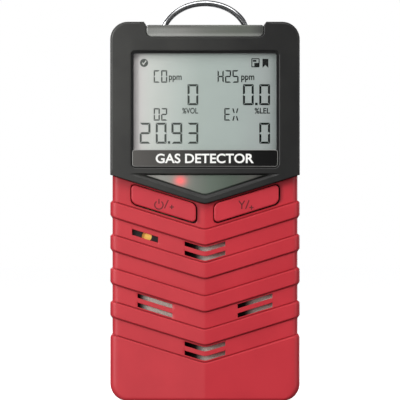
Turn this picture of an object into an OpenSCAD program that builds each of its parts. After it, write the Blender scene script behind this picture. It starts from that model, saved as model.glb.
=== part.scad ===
// Portable four-gas detector: a hand-held case with a display head, two keys, four gas
// sensors behind chevron grilles, and a ring and a spring clip on its back.
// X is to the right, the front faces -Y and Z is up. The origin lies on the base, half-way
// across the case and half-way through its depth. Every length is in millimetres.

/* [Case] */
// Width across the head and the raised bands
case_w = 65; // [64.5:0.5:66]
// Height from the base to the shoulders of the head
case_h = 130; // [130:0.5:132]
// Depth from the crown of the head to the flat back
case_d = 34; // [34:0.5:36]
// Radius of the four corners, seen from the front
corner_r = 6; // [5:0.5:7]
// Thickness of the side walls
wall = 2; // [1.8:0.1:2.2]
// How far the raised bands stand out of the lower cover
band_step = 0.75; // [0.5:0.05:0.9]
// Fall of each front facet from the centre ridge, in degrees
facet_a = 4; // [3:0.5:4.5]

/* [Chevrons] */
// Rise of every chevron line for each millimetre away from the centre
v_slope = 0.31; // [0.29:0.01:0.32]
// Height at the centre where the head meets the lower cover
seam_z = 67.4; // [67:0.1:67.8]
// Height at the centre of the uppermost band's top edge
band_top = 58.5; // [58.3:0.1:58.7]
// Distance from one band to the next
band_pitch = 11.42; // [11.38:0.01:11.46]
// Height of one raised band
band_h = 5.25; // [5:0.05:5.3]

/* [Display] */
// Half width of the display window
window_half = 25.25; // [24.5:0.25:25.5]
// Lower edge of the window
window_z0 = 80; // [79.8:0.1:80.4]
// Upper edge of the window
window_z1 = 119.9; // [119:0.1:120]

/* [Keys] */
// Middle of each key, out from the centre
key_x = 14.2; // [14:0.1:14.4]
// Half width of a key
key_half = 11.1; // [10.6:0.1:11.3]
// Height of the middle of a key
key_z = 67.7; // [67.5:0.1:67.8]
// Height of a key along its upright edges
key_h = 6.6; // [6.2:0.1:6.8]
// Travel of a key
key_travel = 0.7; // [0.5:0.05:0.7]

/* [Sensors] */
// Diameter of a gas sensor
sensor_d = 20; // [19.6:0.1:20.2]
// Length of a gas sensor
sensor_l = 16; // [15:0.25:16.5]

/* [Ring and clip] */
// Diameter of the ring's wire
wire_d = 2.1; // [1.8:0.1:2.2]
// Radius of the ring's arch, to the middle of the wire
bail_r = 14.9; // [14.5:0.1:15.2]
// Radius of the bends at the foot of the ring
bail_bend = 2.7; // [2.5:0.1:2.9]
// Thickness of the clip's sheet steel
clip_t = 1.2; // [1:0.1:1.3]

/* [Hidden] */
$fn = 48;

// Small amounts
fit = 0.05;      // gap round a shaft or a screw
gap = 0.1;       // gap between parts that drop into each other
key_gap = 0.25;  // gap round a key
past = 1;        // how far a cut runs past a face

// Depths, from the front to the back
front_y = -case_d / 2;
back_y = case_d / 2;
band_y = front_y + 0.9;           // ridge of the raised bands
gap_y = band_y + band_step;       // ridge of the ground between the bands
key_y = gap_y - 0.9;              // ridge of the planes that the keys' faces lie in
window_y = front_y + 0.9;         // face of the display window
window_t = 1;
head_in_y = front_y + 2.4;        // inside of the head's front wall
cover_in_y = front_y + 4.8;       // inside of the lower cover's front wall
lcd_y = head_in_y + gap;
board_y = front_y + 8;            // face of the main board
board_t = 1.6;
split_y = front_y + 19.6;         // where the front covers end
seal_t = 0.6;
rear_y = split_y + seal_t;
rear_in_y = back_y - 2;
sensor_y = cover_in_y + 1.1;
sensor_board_y = sensor_y + sensor_l + 1.1;
switch_h = 1.5;
flange_y = board_y - switch_h - gap - key_travel;   // back of a key's flange at rest

// Across and up
half_w = case_w / 2;
body_half = half_w - band_step;
lens_half = 20.1;
lens_top = case_h - 1.1;
lens_z0 = lens_top - 4.2;
head_cavity_half = half_w - wall;
cavity_half = body_half - wall;
head_crown_r = 500;
screw_places = [[27.6, 6], [27.6, 66], [27.6, case_h - 6]];
board_z0 = 62.5;
board_z1 = lens_z0 - 0.3;
board_screw_places = [[0, 64.4], [-22.8, case_h - 7], [22.8, case_h - 7]];
facet_t = tan(facet_a);
bands = [for (i = [0 : 3]) band_top - i * band_pitch];
block_top = band_top - 4 * band_pitch;

// Grilles, and the sensors behind them in the order upper, right, lower, left: [x, z]
slot_h = 1.5;
slot_pitch = 3.15;
slot_half = 6.95;
side_slot = [11.2, 23.1];
side_x = (side_slot[0] + side_slot[1]) / 2;
grille_drop = 8.3;   // from a band's top edge down to the middle of the slots below it
grille_z = [for (z = bands) z - grille_drop];
sensor_places = [
    [0, grille_z[0] + v_slope * slot_half / 2],
    [side_x, grille_z[2] + v_slope * side_x],
    [0, grille_z[3] + v_slope * slot_half / 2],
    [-side_x, grille_z[2] + v_slope * side_x]
];
pin_counts = [3, 3, 2, 4];
pin_ring = 6.5;
carrier_y = [front_y + 9, front_y + 13];
sounder_slot = [-25, -16.1];
sounder_slot_h = 2;
sounder_at = [-20, grille_z[0] + v_slope * 20];
sounder_r = 6;

// Motor, battery and charging contacts
motor_at = [front_y + 11, 57];        // [y, z] of the motor's axis
motor_r = 3.4;
motor_x = [12.5, 23.5];
weight_x = motor_x[1] + 0.7;
weight_w = 3.8;
battery_y = [0, 12];
contact_x = [-7, 0, 7];
contact_z = 16;

// Ring and clip
bail_y = back_y + 2.3;
bail_z = case_h - 10.5;
wire_r = wire_d / 2;
knuckle_half = 9;
clip_half = 9;
clip_z = [62, bail_z - 0.6];
pivot = [back_y + 4.6, 98];           // [y, z] of the clip's pin
pin_r = 1.5;
ear_r = 2.6;
ear_x = [7.6, 8.8];
lever_in_y = back_y + 6.2;
lever_t = 1.3;
clip_screw_z = [82, 110];
window_of_lever = [5.3, 3.8];         // half width and half height of the spring's window
spring_r = 2.15;
spring_wire = 0.35;
spring_half = 4.4;
spring_turns = 5;

// Points of an arc about centre c, from angle a0 to a1
function arc(c, r, a0, a1, n = 6) =
    [for (i = [0 : n]) c + r * [cos(a0 + (a1 - a0) * i / n), sin(a0 + (a1 - a0) * i / n)]];

// Rectangle with round corners
function round_rect(x0, x1, z0, z1, r, n = 6) = concat(
    arc([x1 - r, z1 - r], r, 0, 90, n), arc([x0 + r, z1 - r], r, 90, 180, n),
    arc([x0 + r, z0 + r], r, 180, 270, n), arc([x1 - r, z0 + r], r, 270, 360, n)
);

// Mirrors a list of points in the line x = 0 and keeps it running the same way round
function flip_x(points) = [for (i = [len(points) - 1 : -1 : 0]) [-points[i][0], points[i][1]]];

// Height of a chevron line at x when it crosses the centre at z
function v_at(x, z) = z + v_slope * abs(x);

// Stripe between two chevron lines, as wide as half on each side
function chevron(half, z0, z1) = [
    [-half, v_at(half, z0)], [0, z0], [half, v_at(half, z0)],
    [half, v_at(half, z1)], [0, z1], [-half, v_at(half, z1)]
];

// Slanted slot between x0 and x1, with its middle line crossing the centre at z
function side_stripe(x0, x1, z, h) = [
    [x0, v_at(x0, z) - h / 2], [x1, v_at(x1, z) - h / 2],
    [x1, v_at(x1, z) + h / 2], [x0, v_at(x0, z) + h / 2]
];

// Section through the lower cover, as (x, y): two facets that meet at the ridge and turn
// into the sides with radius r
function ridge_section(half, ridge, r) =
    let (c = [half - r, ridge + facet_t * (half - r) + r / cos(facet_a)],
         turn = arc(c, r, facet_a - 90, 0, 5))
    concat([[0, ridge]], turn, [[half, split_y], [-half, split_y]], flip_x(turn));

// Section through the head, as (x, y): a shallow crown with small edges
function crown_section(half, r = 0.8, n = 10) =
    let (flat = half - r,
         crown = [for (i = [0 : n]) let (x = -flat + 2 * flat * i / n)
                  [x, front_y + x * x / (2 * head_crown_r)]],
         edge = front_y + flat * flat / (2 * head_crown_r))
    concat(crown, [[half, edge + r], [half, split_y], [-half, split_y], [-half, edge + r]]);

// Section through the rear cover from a0 to a1, with its back edges rounded
function back_section(a0, a1, r) = concat(
    [[a0, rear_y]], [[a1, rear_y]],
    arc([a1 - r, back_y - r], r, 0, 90, 5), arc([a0 + r, back_y - r], r, 90, 180, 5)
);

// Outline of a key on the side s, which is -1 or 1, grown by g all round
function key_outline(s, g = 0) =
    let (h = key_half + g, v = key_h / 2 + g,
         flat = round_rect(-h, h, -v, v, 1.8 + g, 4),
         slanted = [for (p = flat) [key_x + p[0], key_z + p[1] + v_slope * p[0]]])
    s > 0 ? slanted : flip_x(slanted);

// Draws an (x, z) outline and carries it from depth y0 to y1
module deep(y0, y1) translate([0, y1, 0]) rotate([90, 0, 0]) linear_extrude(y1 - y0) children();

// Draws a (y, z) outline and carries it from x0 to x1
module across(x0, x1) translate([x0, 0, 0]) rotate([90, 0, 90]) linear_extrude(x1 - x0) children();

// Round bar along Y, and along X
module rod_y(x, z, r, y0, y1) translate([x, y1, z]) rotate([90, 0, 0]) cylinder(r = r, h = y1 - y0);
module rod_x(y, z, r, x0, x1) translate([x0, y, z]) rotate([0, 90, 0]) cylinder(r = r, h = x1 - x0);

// Block between two corners
module block(lo, hi) translate(lo) cube(hi - lo);

// Everything above the seam between the head and the lower cover
module above_seam() deep(front_y - past, back_y + past)
    polygon(chevron(half_w + 5, seam_z, case_h * 2));

// Puts its children at the case screws named in list, and mirrored on the other side
module at_screws(list = [0, 1, 2]) for (i = list, s = [0, 1])
    mirror([s, 0, 0]) translate([screw_places[i][0], 0, screw_places[i][1]]) children();

// Hollow post for a case screw, tied to the side wall
module screw_boss(r, y0, y1) {
    rod_y(0, 0, r, y0, y1);
    block([0, y0, -r * 0.8], [half_w - 1.5 - screw_places[0][0], y1, r * 0.8]);
}

// ---- Case ----

// Outline of the display window, grown by g all round
function window_outline(g, r) =
    round_rect(-window_half - g, window_half + g, window_z0 - g, window_z1 + g, r);

// Black upper front: crown, pocket for the window, notch for the alarm lens
module head_bezel() color([0.16, 0.16, 0.15]) difference() {
    union() {
        difference() {
            intersection() {
                deep(front_y - past, split_y)
                    polygon(round_rect(-half_w, half_w, seam_z - 20, case_h, corner_r));
                linear_extrude(case_h + past) polygon(crown_section(half_w));
                above_seam();
            }
            deep(head_in_y, split_y + past)
                polygon(round_rect(-head_cavity_half, head_cavity_half, seam_z - 20,
                                   case_h - wall, corner_r - wall));
        }
        intersection() {
            at_screws([2]) screw_boss(2.6, board_y + 2, split_y);
            deep(front_y, split_y)
                polygon(round_rect(-half_w, half_w, seam_z, case_h, corner_r));
        }
        for (i = [1, 2])
            rod_y(board_screw_places[i][0], board_screw_places[i][1], 1.6, head_in_y - 0.5, board_y);
    }
    // notch for the alarm lens, with sloping shoulders above it
    deep(front_y - past, split_y + past) {
        polygon(lens_outline(gap));
        polygon([[lens_half + gap, lens_top], [lens_half + 0.9, case_h + past],
                 [-lens_half - 0.9, case_h + past], [-lens_half - gap, lens_top]]);
    }
    // pocket for the display window, and the opening behind it
    deep(front_y - past, window_y + window_t) polygon(window_outline(gap / 2, 1.5));
    deep(front_y, head_in_y + past) polygon(window_outline(-0.5, 1));
    // bevelled recess and opening for the status lens
    deep(front_y - past, front_y + 0.75) polygon(lens_triangle(0.9));
    deep(front_y, head_in_y + past) polygon(lens_triangle(gap));
    // bores
    at_screws([2]) rod_y(0, 0, 1.3, board_y + 3, split_y + past);
    for (i = [1, 2])
        rod_y(board_screw_places[i][0], board_screw_places[i][1], 1 + fit, board_y - 3, board_y + past);
}

// Outline of the alarm lens, grown by g: square above, round corners below
function lens_outline(g = 0) = let (h = lens_half + g, z0 = lens_z0 + gap - g, r = 1.9 + g) concat(
    [[h, lens_top], [-h, lens_top]],
    arc([r - h, z0 + r], r, 180, 270), arc([h - r, z0 + r], r, 270, 360)
);

// Triangle of the status lens, grown by g: flat along the top, sloping below
function lens_triangle(g = 0) =
    let (top = 77.4 + g, tip = 70.7 - g * 1.05, reach = (top - tip) / 0.33)
    [[-reach, top], [0, tip], [reach, top]];

// Red lower front: ridge, chevron bands, openings for keys, sensors and sounder
module front_cover() color([0.76, 0.17, 0.20]) difference() {
    union() {
        difference() {
            union() {
                intersection() {
                    deep(front_y, split_y)
                        polygon(round_rect(-body_half, body_half, 0, case_h, corner_r));
                    linear_extrude(case_h) polygon(ridge_section(body_half, gap_y, 2.2));
                }
                intersection() {
                    deep(front_y, split_y)
                        polygon(round_rect(-half_w, half_w, 0, case_h, corner_r));
                    linear_extrude(case_h) polygon(ridge_section(half_w, band_y, 2.4));
                    deep(front_y, split_y) {
                        for (z = bands) polygon(chevron(half_w + past, z - band_h, z));
                        polygon(chevron(half_w + past, -30, block_top));
                    }
                }
            }
            above_seam();
            deep(cover_in_y, split_y + past)
                polygon(round_rect(-cavity_half, cavity_half, wall, case_h, corner_r - wall));
        }
        intersection() {
            at_screws([0, 1]) screw_boss(2.6, board_y + 0.5, split_y);
            deep(front_y, split_y)
                polygon(round_rect(-body_half, body_half, 0, case_h, corner_r));
        }
        rod_y(board_screw_places[0][0], board_screw_places[0][1], 1.7, cover_in_y - 0.5, board_y);
        // tongue that holds the head's lower edge
        deep(head_in_y + gap, cover_in_y - 0.4) polygon(chevron(24, seam_z - 1.2, seam_z + 1.8));
    }
    deep(front_y - past, cover_in_y + past) {
        for (s = [-1, 1]) polygon(key_outline(s, key_gap));
        for (k = [-0.5, 0.5]) {
            for (i = [0, 3]) let (z = grille_z[i] + k * slot_pitch)
                polygon(chevron(slot_half, z - slot_h / 2, z + slot_h / 2));
            for (x = [side_slot, -[side_slot[1], side_slot[0]]])
                polygon(side_stripe(x[0], x[1], grille_z[2] + k * slot_pitch, slot_h));
        }
        polygon(side_stripe(sounder_slot[0], sounder_slot[1], grille_z[0], sounder_slot_h));
    }
    at_screws([0, 1]) rod_y(0, 0, 1.3, board_y + 2, split_y + past);
    rod_y(board_screw_places[0][0], board_screw_places[0][1], 1 + fit, board_y - 3, board_y + past);
}

// Black back shell with rounded back edges, screw wells and charging recess
module rear_cover() color([0.13, 0.13, 0.13]) difference() {
    union() {
        difference() {
            intersection() {
                deep(rear_y, back_y)
                    polygon(round_rect(-body_half, body_half, 0, lens_top, corner_r));
                linear_extrude(case_h) polygon(back_section(-body_half, body_half, 4.5));
                across(-half_w, half_w) polygon([for (p = back_section(0, lens_top, 3)) [p[1], p[0]]]);
            }
            deep(rear_y - past, rear_in_y)
                polygon(round_rect(-cavity_half, cavity_half, wall, lens_top - wall, corner_r - wall));
        }
        intersection() {
            at_screws() screw_boss(3.6, rear_y, rear_in_y + 0.5);
            deep(rear_y, rear_in_y + 0.5)
                polygon(round_rect(-body_half + 1, body_half - 1, 1, lens_top - 1, corner_r - 1));
        }
        for (z = clip_screw_z) rod_y(0, z, 3, rear_in_y - 1.8, rear_in_y + 0.5);
    }
    at_screws() {
        rod_y(0, 0, 2.6, rear_y + 4, back_y + past);
        rod_y(0, 0, 1.3 + fit, rear_y - past, back_y);
    }
    for (z = clip_screw_z) rod_y(0, z, 1.3, rear_in_y - 1.4, back_y + past);
    // recess and wells of the charging contacts
    deep(back_y - 0.8, back_y + past) polygon(round_rect(-11, 11, contact_z - 4, contact_z + 4, 2));
    for (x = contact_x) rod_y(x, contact_z, 1.6 + fit, rear_in_y - past, back_y);
    // grip grooves below the clip
    for (i = [0 : 4])
        deep(back_y - 0.6, back_y + past) polygon(chevron(18, 26 + 6 * i, 27.6 + 6 * i));
}

// Rubber seal between the front covers and the rear cover
module case_seal() color([0.08, 0.08, 0.08]) deep(split_y, rear_y) difference() {
    polygon(round_rect(-body_half, body_half, 0, lens_top, corner_r));
    polygon(round_rect(-cavity_half, cavity_half, wall, lens_top - wall, corner_r - wall));
}

// Six socket screws that hold the case together from behind
module case_screws() color([0.55, 0.55, 0.57]) at_screws() difference() {
    union() {
        rod_y(0, 0, 2.3, rear_y + 4, rear_y + 6);
        rod_y(0, 0, 1.25, board_y + 4, rear_y + 4);
    }
    translate([0, rear_y + 6 + past, 0]) rotate([90, 0, 0]) cylinder(r = 1.25, h = 1.2 + past, $fn = 6);
}

// ---- Display ----

// Clear window in the head's pocket
module display_window() color([0.8, 0.85, 0.82, 0.4])
    deep(window_y, window_y + window_t) polygon(window_outline(0, 1.45));

// Name plate along the foot of the window
module name_plate() color([0.22, 0.22, 0.22])
    deep(window_y - 0.25, window_y)
        polygon(round_rect(-window_half + 0.35, window_half - 0.35, window_z0 + 0.4, window_z0 + 6.1, 0.8));

// Plastic frame that holds the display against the head
module lcd_frame() color([0.9, 0.9, 0.88]) difference() {
    deep(lcd_y, board_y - gap) polygon(round_rect(-28, 28, 77.9, 121.3, 1));
    deep(lcd_y - past, board_y) polygon(round_rect(-26.1, 26.1, 79.3, 120.5, 0.1, 2));
}

// Liquid-crystal glass
module lcd_panel() color([0.68, 0.74, 0.70])
    block([-26, lcd_y, 79.4], [26, lcd_y + 2, 120.4]);

// Light guide behind the glass
module lcd_backlight() color([0.95, 0.97, 0.93])
    block([-26, lcd_y + 2, 82], [26, lcd_y + 4.5, 120.4]);

// Elastomer strip from the glass to the board
module lcd_connector() color([0.85, 0.55, 0.65])
    block([-23, lcd_y + 2, 79.4], [23, board_y, 81.6]);

// Grey light bar that shows along the front and the top of the head
module alarm_lens() color([0.55, 0.56, 0.54])
    deep(front_y + 0.1, split_y) polygon(lens_outline());

// Triangular light window below the display
module status_lens() color([0.45, 0.50, 0.45])
    deep(front_y + 0.8, head_in_y) polygon(lens_triangle());

// Alarm lamps under the alarm lens
module alarm_leds() color([0.95, 0.92, 0.8])
    for (x = [-14, 0, 14])
        block([x - 1.4, board_y - 1.6, board_z1 - 1.9], [x + 1.4, board_y, board_z1 - 0.1]);

// Red lamp behind the status lens
module status_led() color([0.9, 0.1, 0.1])
    block([-9.7, board_y - 2.4, 74.6], [-7.3, board_y, 76.4]);

// ---- Boards ----

// Main board, notched round the case screws' bosses
module main_board() color([0.10, 0.35, 0.18]) difference() {
    deep(board_y, board_y + board_t) polygon(round_rect(-29, 29, board_z0, board_z1, 1));
    at_screws([1, 2]) rod_y(0, 0, 3, board_y - past, board_y + board_t + past);
    for (p = board_screw_places) rod_y(p[0], p[1], 1 + fit, board_y - past, board_y + board_t + past);
}

// Chips, a crystal and capacitors on the back of the main board
module board_components() color([0.12, 0.12, 0.13]) {
    y = board_y + board_t;
    block([-6, y, 92], [6, y + 1.4, 104]);
    block([-20, y, 96], [-12, y + 1.2, 102]);
    block([11, y, 80], [18, y + 1.2, 84]);
    block([12, y, 96], [17.5, y + 2.6, 101.5]);
    for (i = [0 : 3]) block([-20 + 4 * i, y, 84], [-18 + 4 * i, y + 1.2, 87.2]);
    for (x = [-22, 21]) rod_y(x, 112, 2.5, y, y + 4);
}

// Three screws that hold the main board to the front
module board_screws() color([0.6, 0.6, 0.62]) for (p = board_screw_places) {
    rod_y(p[0], p[1], 1.7, board_y + board_t, board_y + board_t + 1.2);
    rod_y(p[0], p[1], 1, board_y - 2.5, board_y + board_t);
}

// Socket of the flat cable on the main board
module board_connector() color([0.92, 0.90, 0.82]) {
    y = board_y + board_t;
    difference() {
        block([-8, y, 69.2], [8, y + 2.2, 72.4]);
        block([-6.6, y + 0.8, 69.2 - past], [6.6, y + 1.4, 71.6]);
    }
}

// Flat cable from the sensor board to the main board
module flex_cable() color([0.75, 0.50, 0.15]) across(-6.5, 6.5) {
    y = board_y + board_t + 1.1;
    polygon([[y - 0.2, 71.4], [y - 0.2, 67], [sensor_board_y - 0.4, 67],
             [sensor_board_y - 0.4, 59], [sensor_board_y, 59], [sensor_board_y, 67.4],
             [y + 0.2, 67.4], [y + 0.2, 71.4]]);
}

// ---- Keys and their switches ----

// Tactile switch body on the side s, with a bore for its plunger
module switch_body(s) difference() {
    block([s * key_x - 2.6, board_y - switch_h, key_z - 2.6], [s * key_x + 2.6, board_y, key_z + 2.6]);
    rod_y(s * key_x, key_z, 1.2 + gap, board_y - switch_h - past, board_y - 0.2);
}

// Plunger of a switch, carried by the key
module plunger(s) rod_y(s * key_x, key_z, 1.2, flange_y, board_y - 0.4 - key_travel);

// Key on the side s: a cap that stands out of the cover, and a flange behind it that is
// cut back round the upper sensor
module key_cap(s) {
    intersection() {
        deep(front_y, cover_in_y + 0.2) polygon(key_outline(s));
        linear_extrude(case_h) polygon(ridge_section(half_w, key_y, 2));
    }
    difference() {
        deep(cover_in_y + gap, flange_y) polygon(key_outline(s, 1));
        rod_y(sensor_places[0][0], sensor_places[0][1], sensor_d / 2 + 0.5, cover_in_y, cover_in_y + 1);
    }
}

module power_switch() color([0.2, 0.2, 0.2]) switch_body(-1);
module menu_switch() color([0.2, 0.2, 0.2]) switch_body(1);
module power_plunger() color([0.75, 0.72, 0.65]) plunger(-1);
module menu_plunger() color([0.75, 0.72, 0.65]) plunger(1);
module power_key() color([0.74, 0.16, 0.19]) key_cap(-1);
module menu_key() color([0.74, 0.16, 0.19]) key_cap(1);

// ---- Sensors ----

// Plate that holds the four sensors, cut away for the sounder and the motor
module sensor_carrier() color([0.25, 0.27, 0.30]) difference() {
    y0 = carrier_y[0] - past;
    y1 = carrier_y[1] + past;
    deep(carrier_y[0], carrier_y[1]) polygon(round_rect(-29, 29, 3, 62, 3));
    for (p = sensor_places) rod_y(p[0], p[1], sensor_d / 2 + fit, y0, y1);
    rod_y(sounder_at[0], sounder_at[1], sounder_r + gap, y0, y1);
    block([motor_x[0] - 1, y0, motor_at[1] - 4.5], [29 + past, y1, 62 + past]);
    at_screws([0]) {
        rod_y(0, 0, 2.6 + gap, y0, y1);
        block([-0.6, y0, -4], [3, y1, 3]);
    }
}

// Gas sensor at place i with its breathing hole and its ring of pins
module gas_sensor(i) {
    p = sensor_places[i];
    pins = pin_counts[i];
    difference() {
        rod_y(p[0], p[1], sensor_d / 2, sensor_y, sensor_y + sensor_l);
        rod_y(p[0], p[1], 3, sensor_y - past, sensor_y + 0.8);
        translate([p[0], sensor_y + 4, p[1]]) rotate([90, 0, 0]) rotate_extrude()
            translate([sensor_d / 2 - 0.5, 0]) square([past, 1]);
    }
    for (k = [0 : pins - 1]) {
        a = 90 + 360 * k / pins;
        rod_y(p[0] + pin_ring * cos(a), p[1] + pin_ring * sin(a), 0.75,
              sensor_y + sensor_l, sensor_board_y + 1.6);
    }
}

module co_sensor() color([0.88, 0.88, 0.86]) gas_sensor(0);
module h2s_sensor() color([0.86, 0.84, 0.70]) gas_sensor(1);
module oxygen_sensor() color([0.25, 0.35, 0.60]) gas_sensor(2);
module combustible_sensor() color([0.72, 0.72, 0.74]) gas_sensor(3);

// Pale dust filter in front of sensor i
module dust_filter(i) color([0.80, 0.80, 0.78])
    rod_y(sensor_places[i][0], sensor_places[i][1], 9.2, cover_in_y, cover_in_y + 0.3);

// Sealing ring between filter i and its sensor
module sensor_gasket(i) color([0.1, 0.1, 0.1])
    translate([sensor_places[i][0], sensor_y, sensor_places[i][1]]) rotate([90, 0, 0])
        rotate_extrude() translate([7, 0]) square([2.4, 0.8]);

module upper_filter() dust_filter(0);
module right_filter() dust_filter(1);
module lower_filter() dust_filter(2);
module left_filter() dust_filter(3);
module upper_gasket() sensor_gasket(0);
module right_gasket() sensor_gasket(1);
module lower_gasket() sensor_gasket(2);
module left_gasket() sensor_gasket(3);

// Board behind the sensors, drilled for their pins
module sensor_board() color([0.10, 0.35, 0.18]) difference() {
    deep(sensor_board_y, sensor_board_y + 1.2) polygon(round_rect(-23.5, 23.5, 4, 62, 1));
    for (i = [0 : 3], k = [0 : pin_counts[i] - 1]) {
        a = 90 + 360 * k / pin_counts[i];
        rod_y(sensor_places[i][0] + pin_ring * cos(a), sensor_places[i][1] + pin_ring * sin(a), 0.75 + fit,
              sensor_board_y - past, sensor_board_y + 1.2 + past);
    }
}

// ---- Sounder and motor ----

// Round black sounder with a sound hole
module sounder_case() color([0.06, 0.06, 0.06]) difference() {
    rod_y(sounder_at[0], sounder_at[1], sounder_r, cover_in_y + gap, cover_in_y + 7.1);
    rod_y(sounder_at[0], sounder_at[1], 1.7, cover_in_y - past, cover_in_y + 1);
    rod_y(sounder_at[0], sounder_at[1], 5.2, cover_in_y + 0.7, cover_in_y + 6);
}

// Brass disc that rings inside the sounder
module sounder_diaphragm() color([0.80, 0.62, 0.25])
    rod_y(sounder_at[0], sounder_at[1], 5.2, cover_in_y + 1, cover_in_y + 1.3);

// Small cylindrical motor
module vibration_motor() color([0.7, 0.7, 0.72]) difference() {
    rod_x(motor_at[0], motor_at[1], motor_r, motor_x[0], motor_x[1]);
    rod_x(motor_at[0], motor_at[1], 0.5 + fit, motor_x[0] + 4, motor_x[1] + past);
}

// Saddle that holds the motor against the front cover
module motor_cradle() color([0.2, 0.2, 0.22]) difference() {
    block([motor_x[0] + 1, cover_in_y + gap, motor_at[1] - 4],
          [motor_x[1] - 2, motor_at[0] + 0.5, motor_at[1] + 4]);
    rod_x(motor_at[0], motor_at[1], motor_r + fit, motor_x[0], motor_x[1]);
}

// Motor shaft
module motor_shaft() color([0.8, 0.8, 0.8])
    rod_x(motor_at[0], motor_at[1], 0.5, motor_x[0] + 4.5, motor_x[1] + 4.8);

// Half-round weight on the shaft
module motor_weight() color([0.72, 0.58, 0.35]) {
    y = motor_at[0];
    z = motor_at[1];
    difference() {
        union() {
            rod_x(y, z, 1.2, weight_x, weight_x + weight_w);
            intersection() {
                rod_x(y, z, 3, weight_x, weight_x + weight_w);
                block([weight_x, y - 4, z - 4], [weight_x + weight_w, y + 4, z]);
            }
        }
        rod_x(y, z, 0.5, weight_x - past, weight_x + weight_w + past);
    }
}

// ---- Power ----

// Flat rechargeable pack with its protection board
module battery_pack() color([0.20, 0.35, 0.60]) {
    deep(battery_y[0], battery_y[1]) polygon(round_rect(-25, 25, 73, 116, 2));
    block([-22, battery_y[0] + 2, 116], [22, battery_y[1] - 4, 119]);
}

// Foam pad behind the battery
module battery_pad() color([0.3, 0.3, 0.3])
    block([-20, battery_y[1], 76], [20, rear_in_y - 1.8, 114]);

// Gilded charging contacts in the back
module charge_contacts() color([0.90, 0.72, 0.30])
    for (x = contact_x) {
        rod_y(x, contact_z, 1.6, rear_in_y - gap, back_y - 0.5);
        rod_y(x, contact_z, 2.2, rear_in_y - 1, rear_in_y);
    }

// ---- Ring and clip ----

// Steel plate on the back with ears for the clip's pin and a knuckle for the ring
module clip_base() color([0.75, 0.76, 0.78]) difference() {
    union() {
        deep(back_y, back_y + clip_t) polygon(round_rect(-clip_half, clip_half, clip_z[0], clip_z[1], 0.5, 3));
        for (s = [0, 1]) mirror([s, 0, 0]) across(ear_x[0], ear_x[1])
            polygon(concat([[back_y + clip_t / 2, pivot[1] - ear_r]], arc(pivot, ear_r, -90, 90, 10),
                           [[back_y + clip_t / 2, pivot[1] + ear_r]]));
        rod_x(bail_y, bail_z, bail_y - back_y - 0.1, -knuckle_half, knuckle_half);
    }
    rod_x(bail_y, bail_z, wire_r + gap, -knuckle_half - past, knuckle_half + past);
    rod_x(pivot[0], pivot[1], pin_r + fit, -ear_x[1] - past, ear_x[1] + past);
    for (z = clip_screw_z) {
        translate([0, back_y + clip_t, z]) rotate([90, 0, 0]) cylinder(r1 = 2.6, r2 = 1.4, h = clip_t);
    }
}

// Two countersunk screws that hold the clip's plate
module clip_screws() color([0.62, 0.62, 0.64]) for (z = clip_screw_z) difference() {
    union() {
        translate([0, back_y + clip_t, z]) rotate([90, 0, 0]) cylinder(r1 = 2.55, r2 = 1.25, h = clip_t);
        rod_y(0, z, 1.25, rear_in_y - 1.2, back_y + 0.1);
    }
    translate([0, back_y + clip_t + past, z]) rotate([90, 0, 0]) cylinder(r = 1, h = 0.7 + past, $fn = 6);
}

// Pin of the clip, with a head at each end
module clip_pin() color([0.70, 0.70, 0.72]) {
    rod_x(pivot[0], pivot[1], pin_r, -ear_x[1] - 0.1, ear_x[1] + 0.1);
    for (s = [0, 1]) mirror([s, 0, 0])
        rod_x(pivot[0], pivot[1], 2.1, ear_x[1] + fit, ear_x[1] + 0.75);
}

// Sprung arm: toothed jaw below, thumb plate above, two side flanges on the pin
module clip_lever() color([0.78, 0.79, 0.81]) difference() {
    jaw = [[0.3, 64], [0.9, 64.6], [0.3, 65.2], [0.9, 65.8], [0.3, 66.4], [1.2, 67]];
    union() {
        across(-clip_half, clip_half) polygon(concat(
            [for (p = jaw) [back_y + clip_t + p[0], p[1]]],
            [[lever_in_y, 71.5], [lever_in_y, 103.5], [lever_in_y + 2.7, 112.5]],
            [[lever_in_y + 2.7 + lever_t, 112.2], [lever_in_y + lever_t, 103.2],
             [lever_in_y + lever_t, 71], [back_y + clip_t + 2.2, 65.6], [back_y + clip_t + 1.9, 64]]));
        for (s = [0, 1]) mirror([s, 0, 0]) across(5.6, 7.2)
            polygon(concat([[lever_in_y + 0.3, pivot[1] + 2.2]], arc(pivot, 2.2, 90, 270, 10),
                           [[lever_in_y + 0.3, pivot[1] - 2.2]]));
    }
    rod_x(pivot[0], pivot[1], pin_r + fit, -clip_half - past, clip_half + past);
    // window for the spring, and room for the ears
    block([-window_of_lever[0], lever_in_y - past, pivot[1] - window_of_lever[1]],
          [window_of_lever[0], lever_in_y + lever_t + past, pivot[1] + window_of_lever[1]]);
    for (s = [0, 1]) mirror([s, 0, 0])
        block([ear_x[0] - 0.3, lever_in_y - past, pivot[1] - 4.5],
              [clip_half + past, lever_in_y + lever_t + past, pivot[1] + 4.5]);
}

// Torsion spring: turns round the pin, a leg on the plate and a leg on the arm
function spring_path(n = 16) = let (last = spring_turns * n + n / 2) concat(
    [[-spring_half, pivot[0] - spring_r, pivot[1] - 9]],
    [for (i = [0 : last]) let (a = 180 - i * 360 / n)
        [spring_half * (2 * i / last - 1), pivot[0] + spring_r * cos(a), pivot[1] + spring_r * sin(a)]],
    [for (z = [window_of_lever[1] - 0.9, 8]) [spring_half, lever_in_y - spring_wire - gap, pivot[1] - z]]
);

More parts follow.
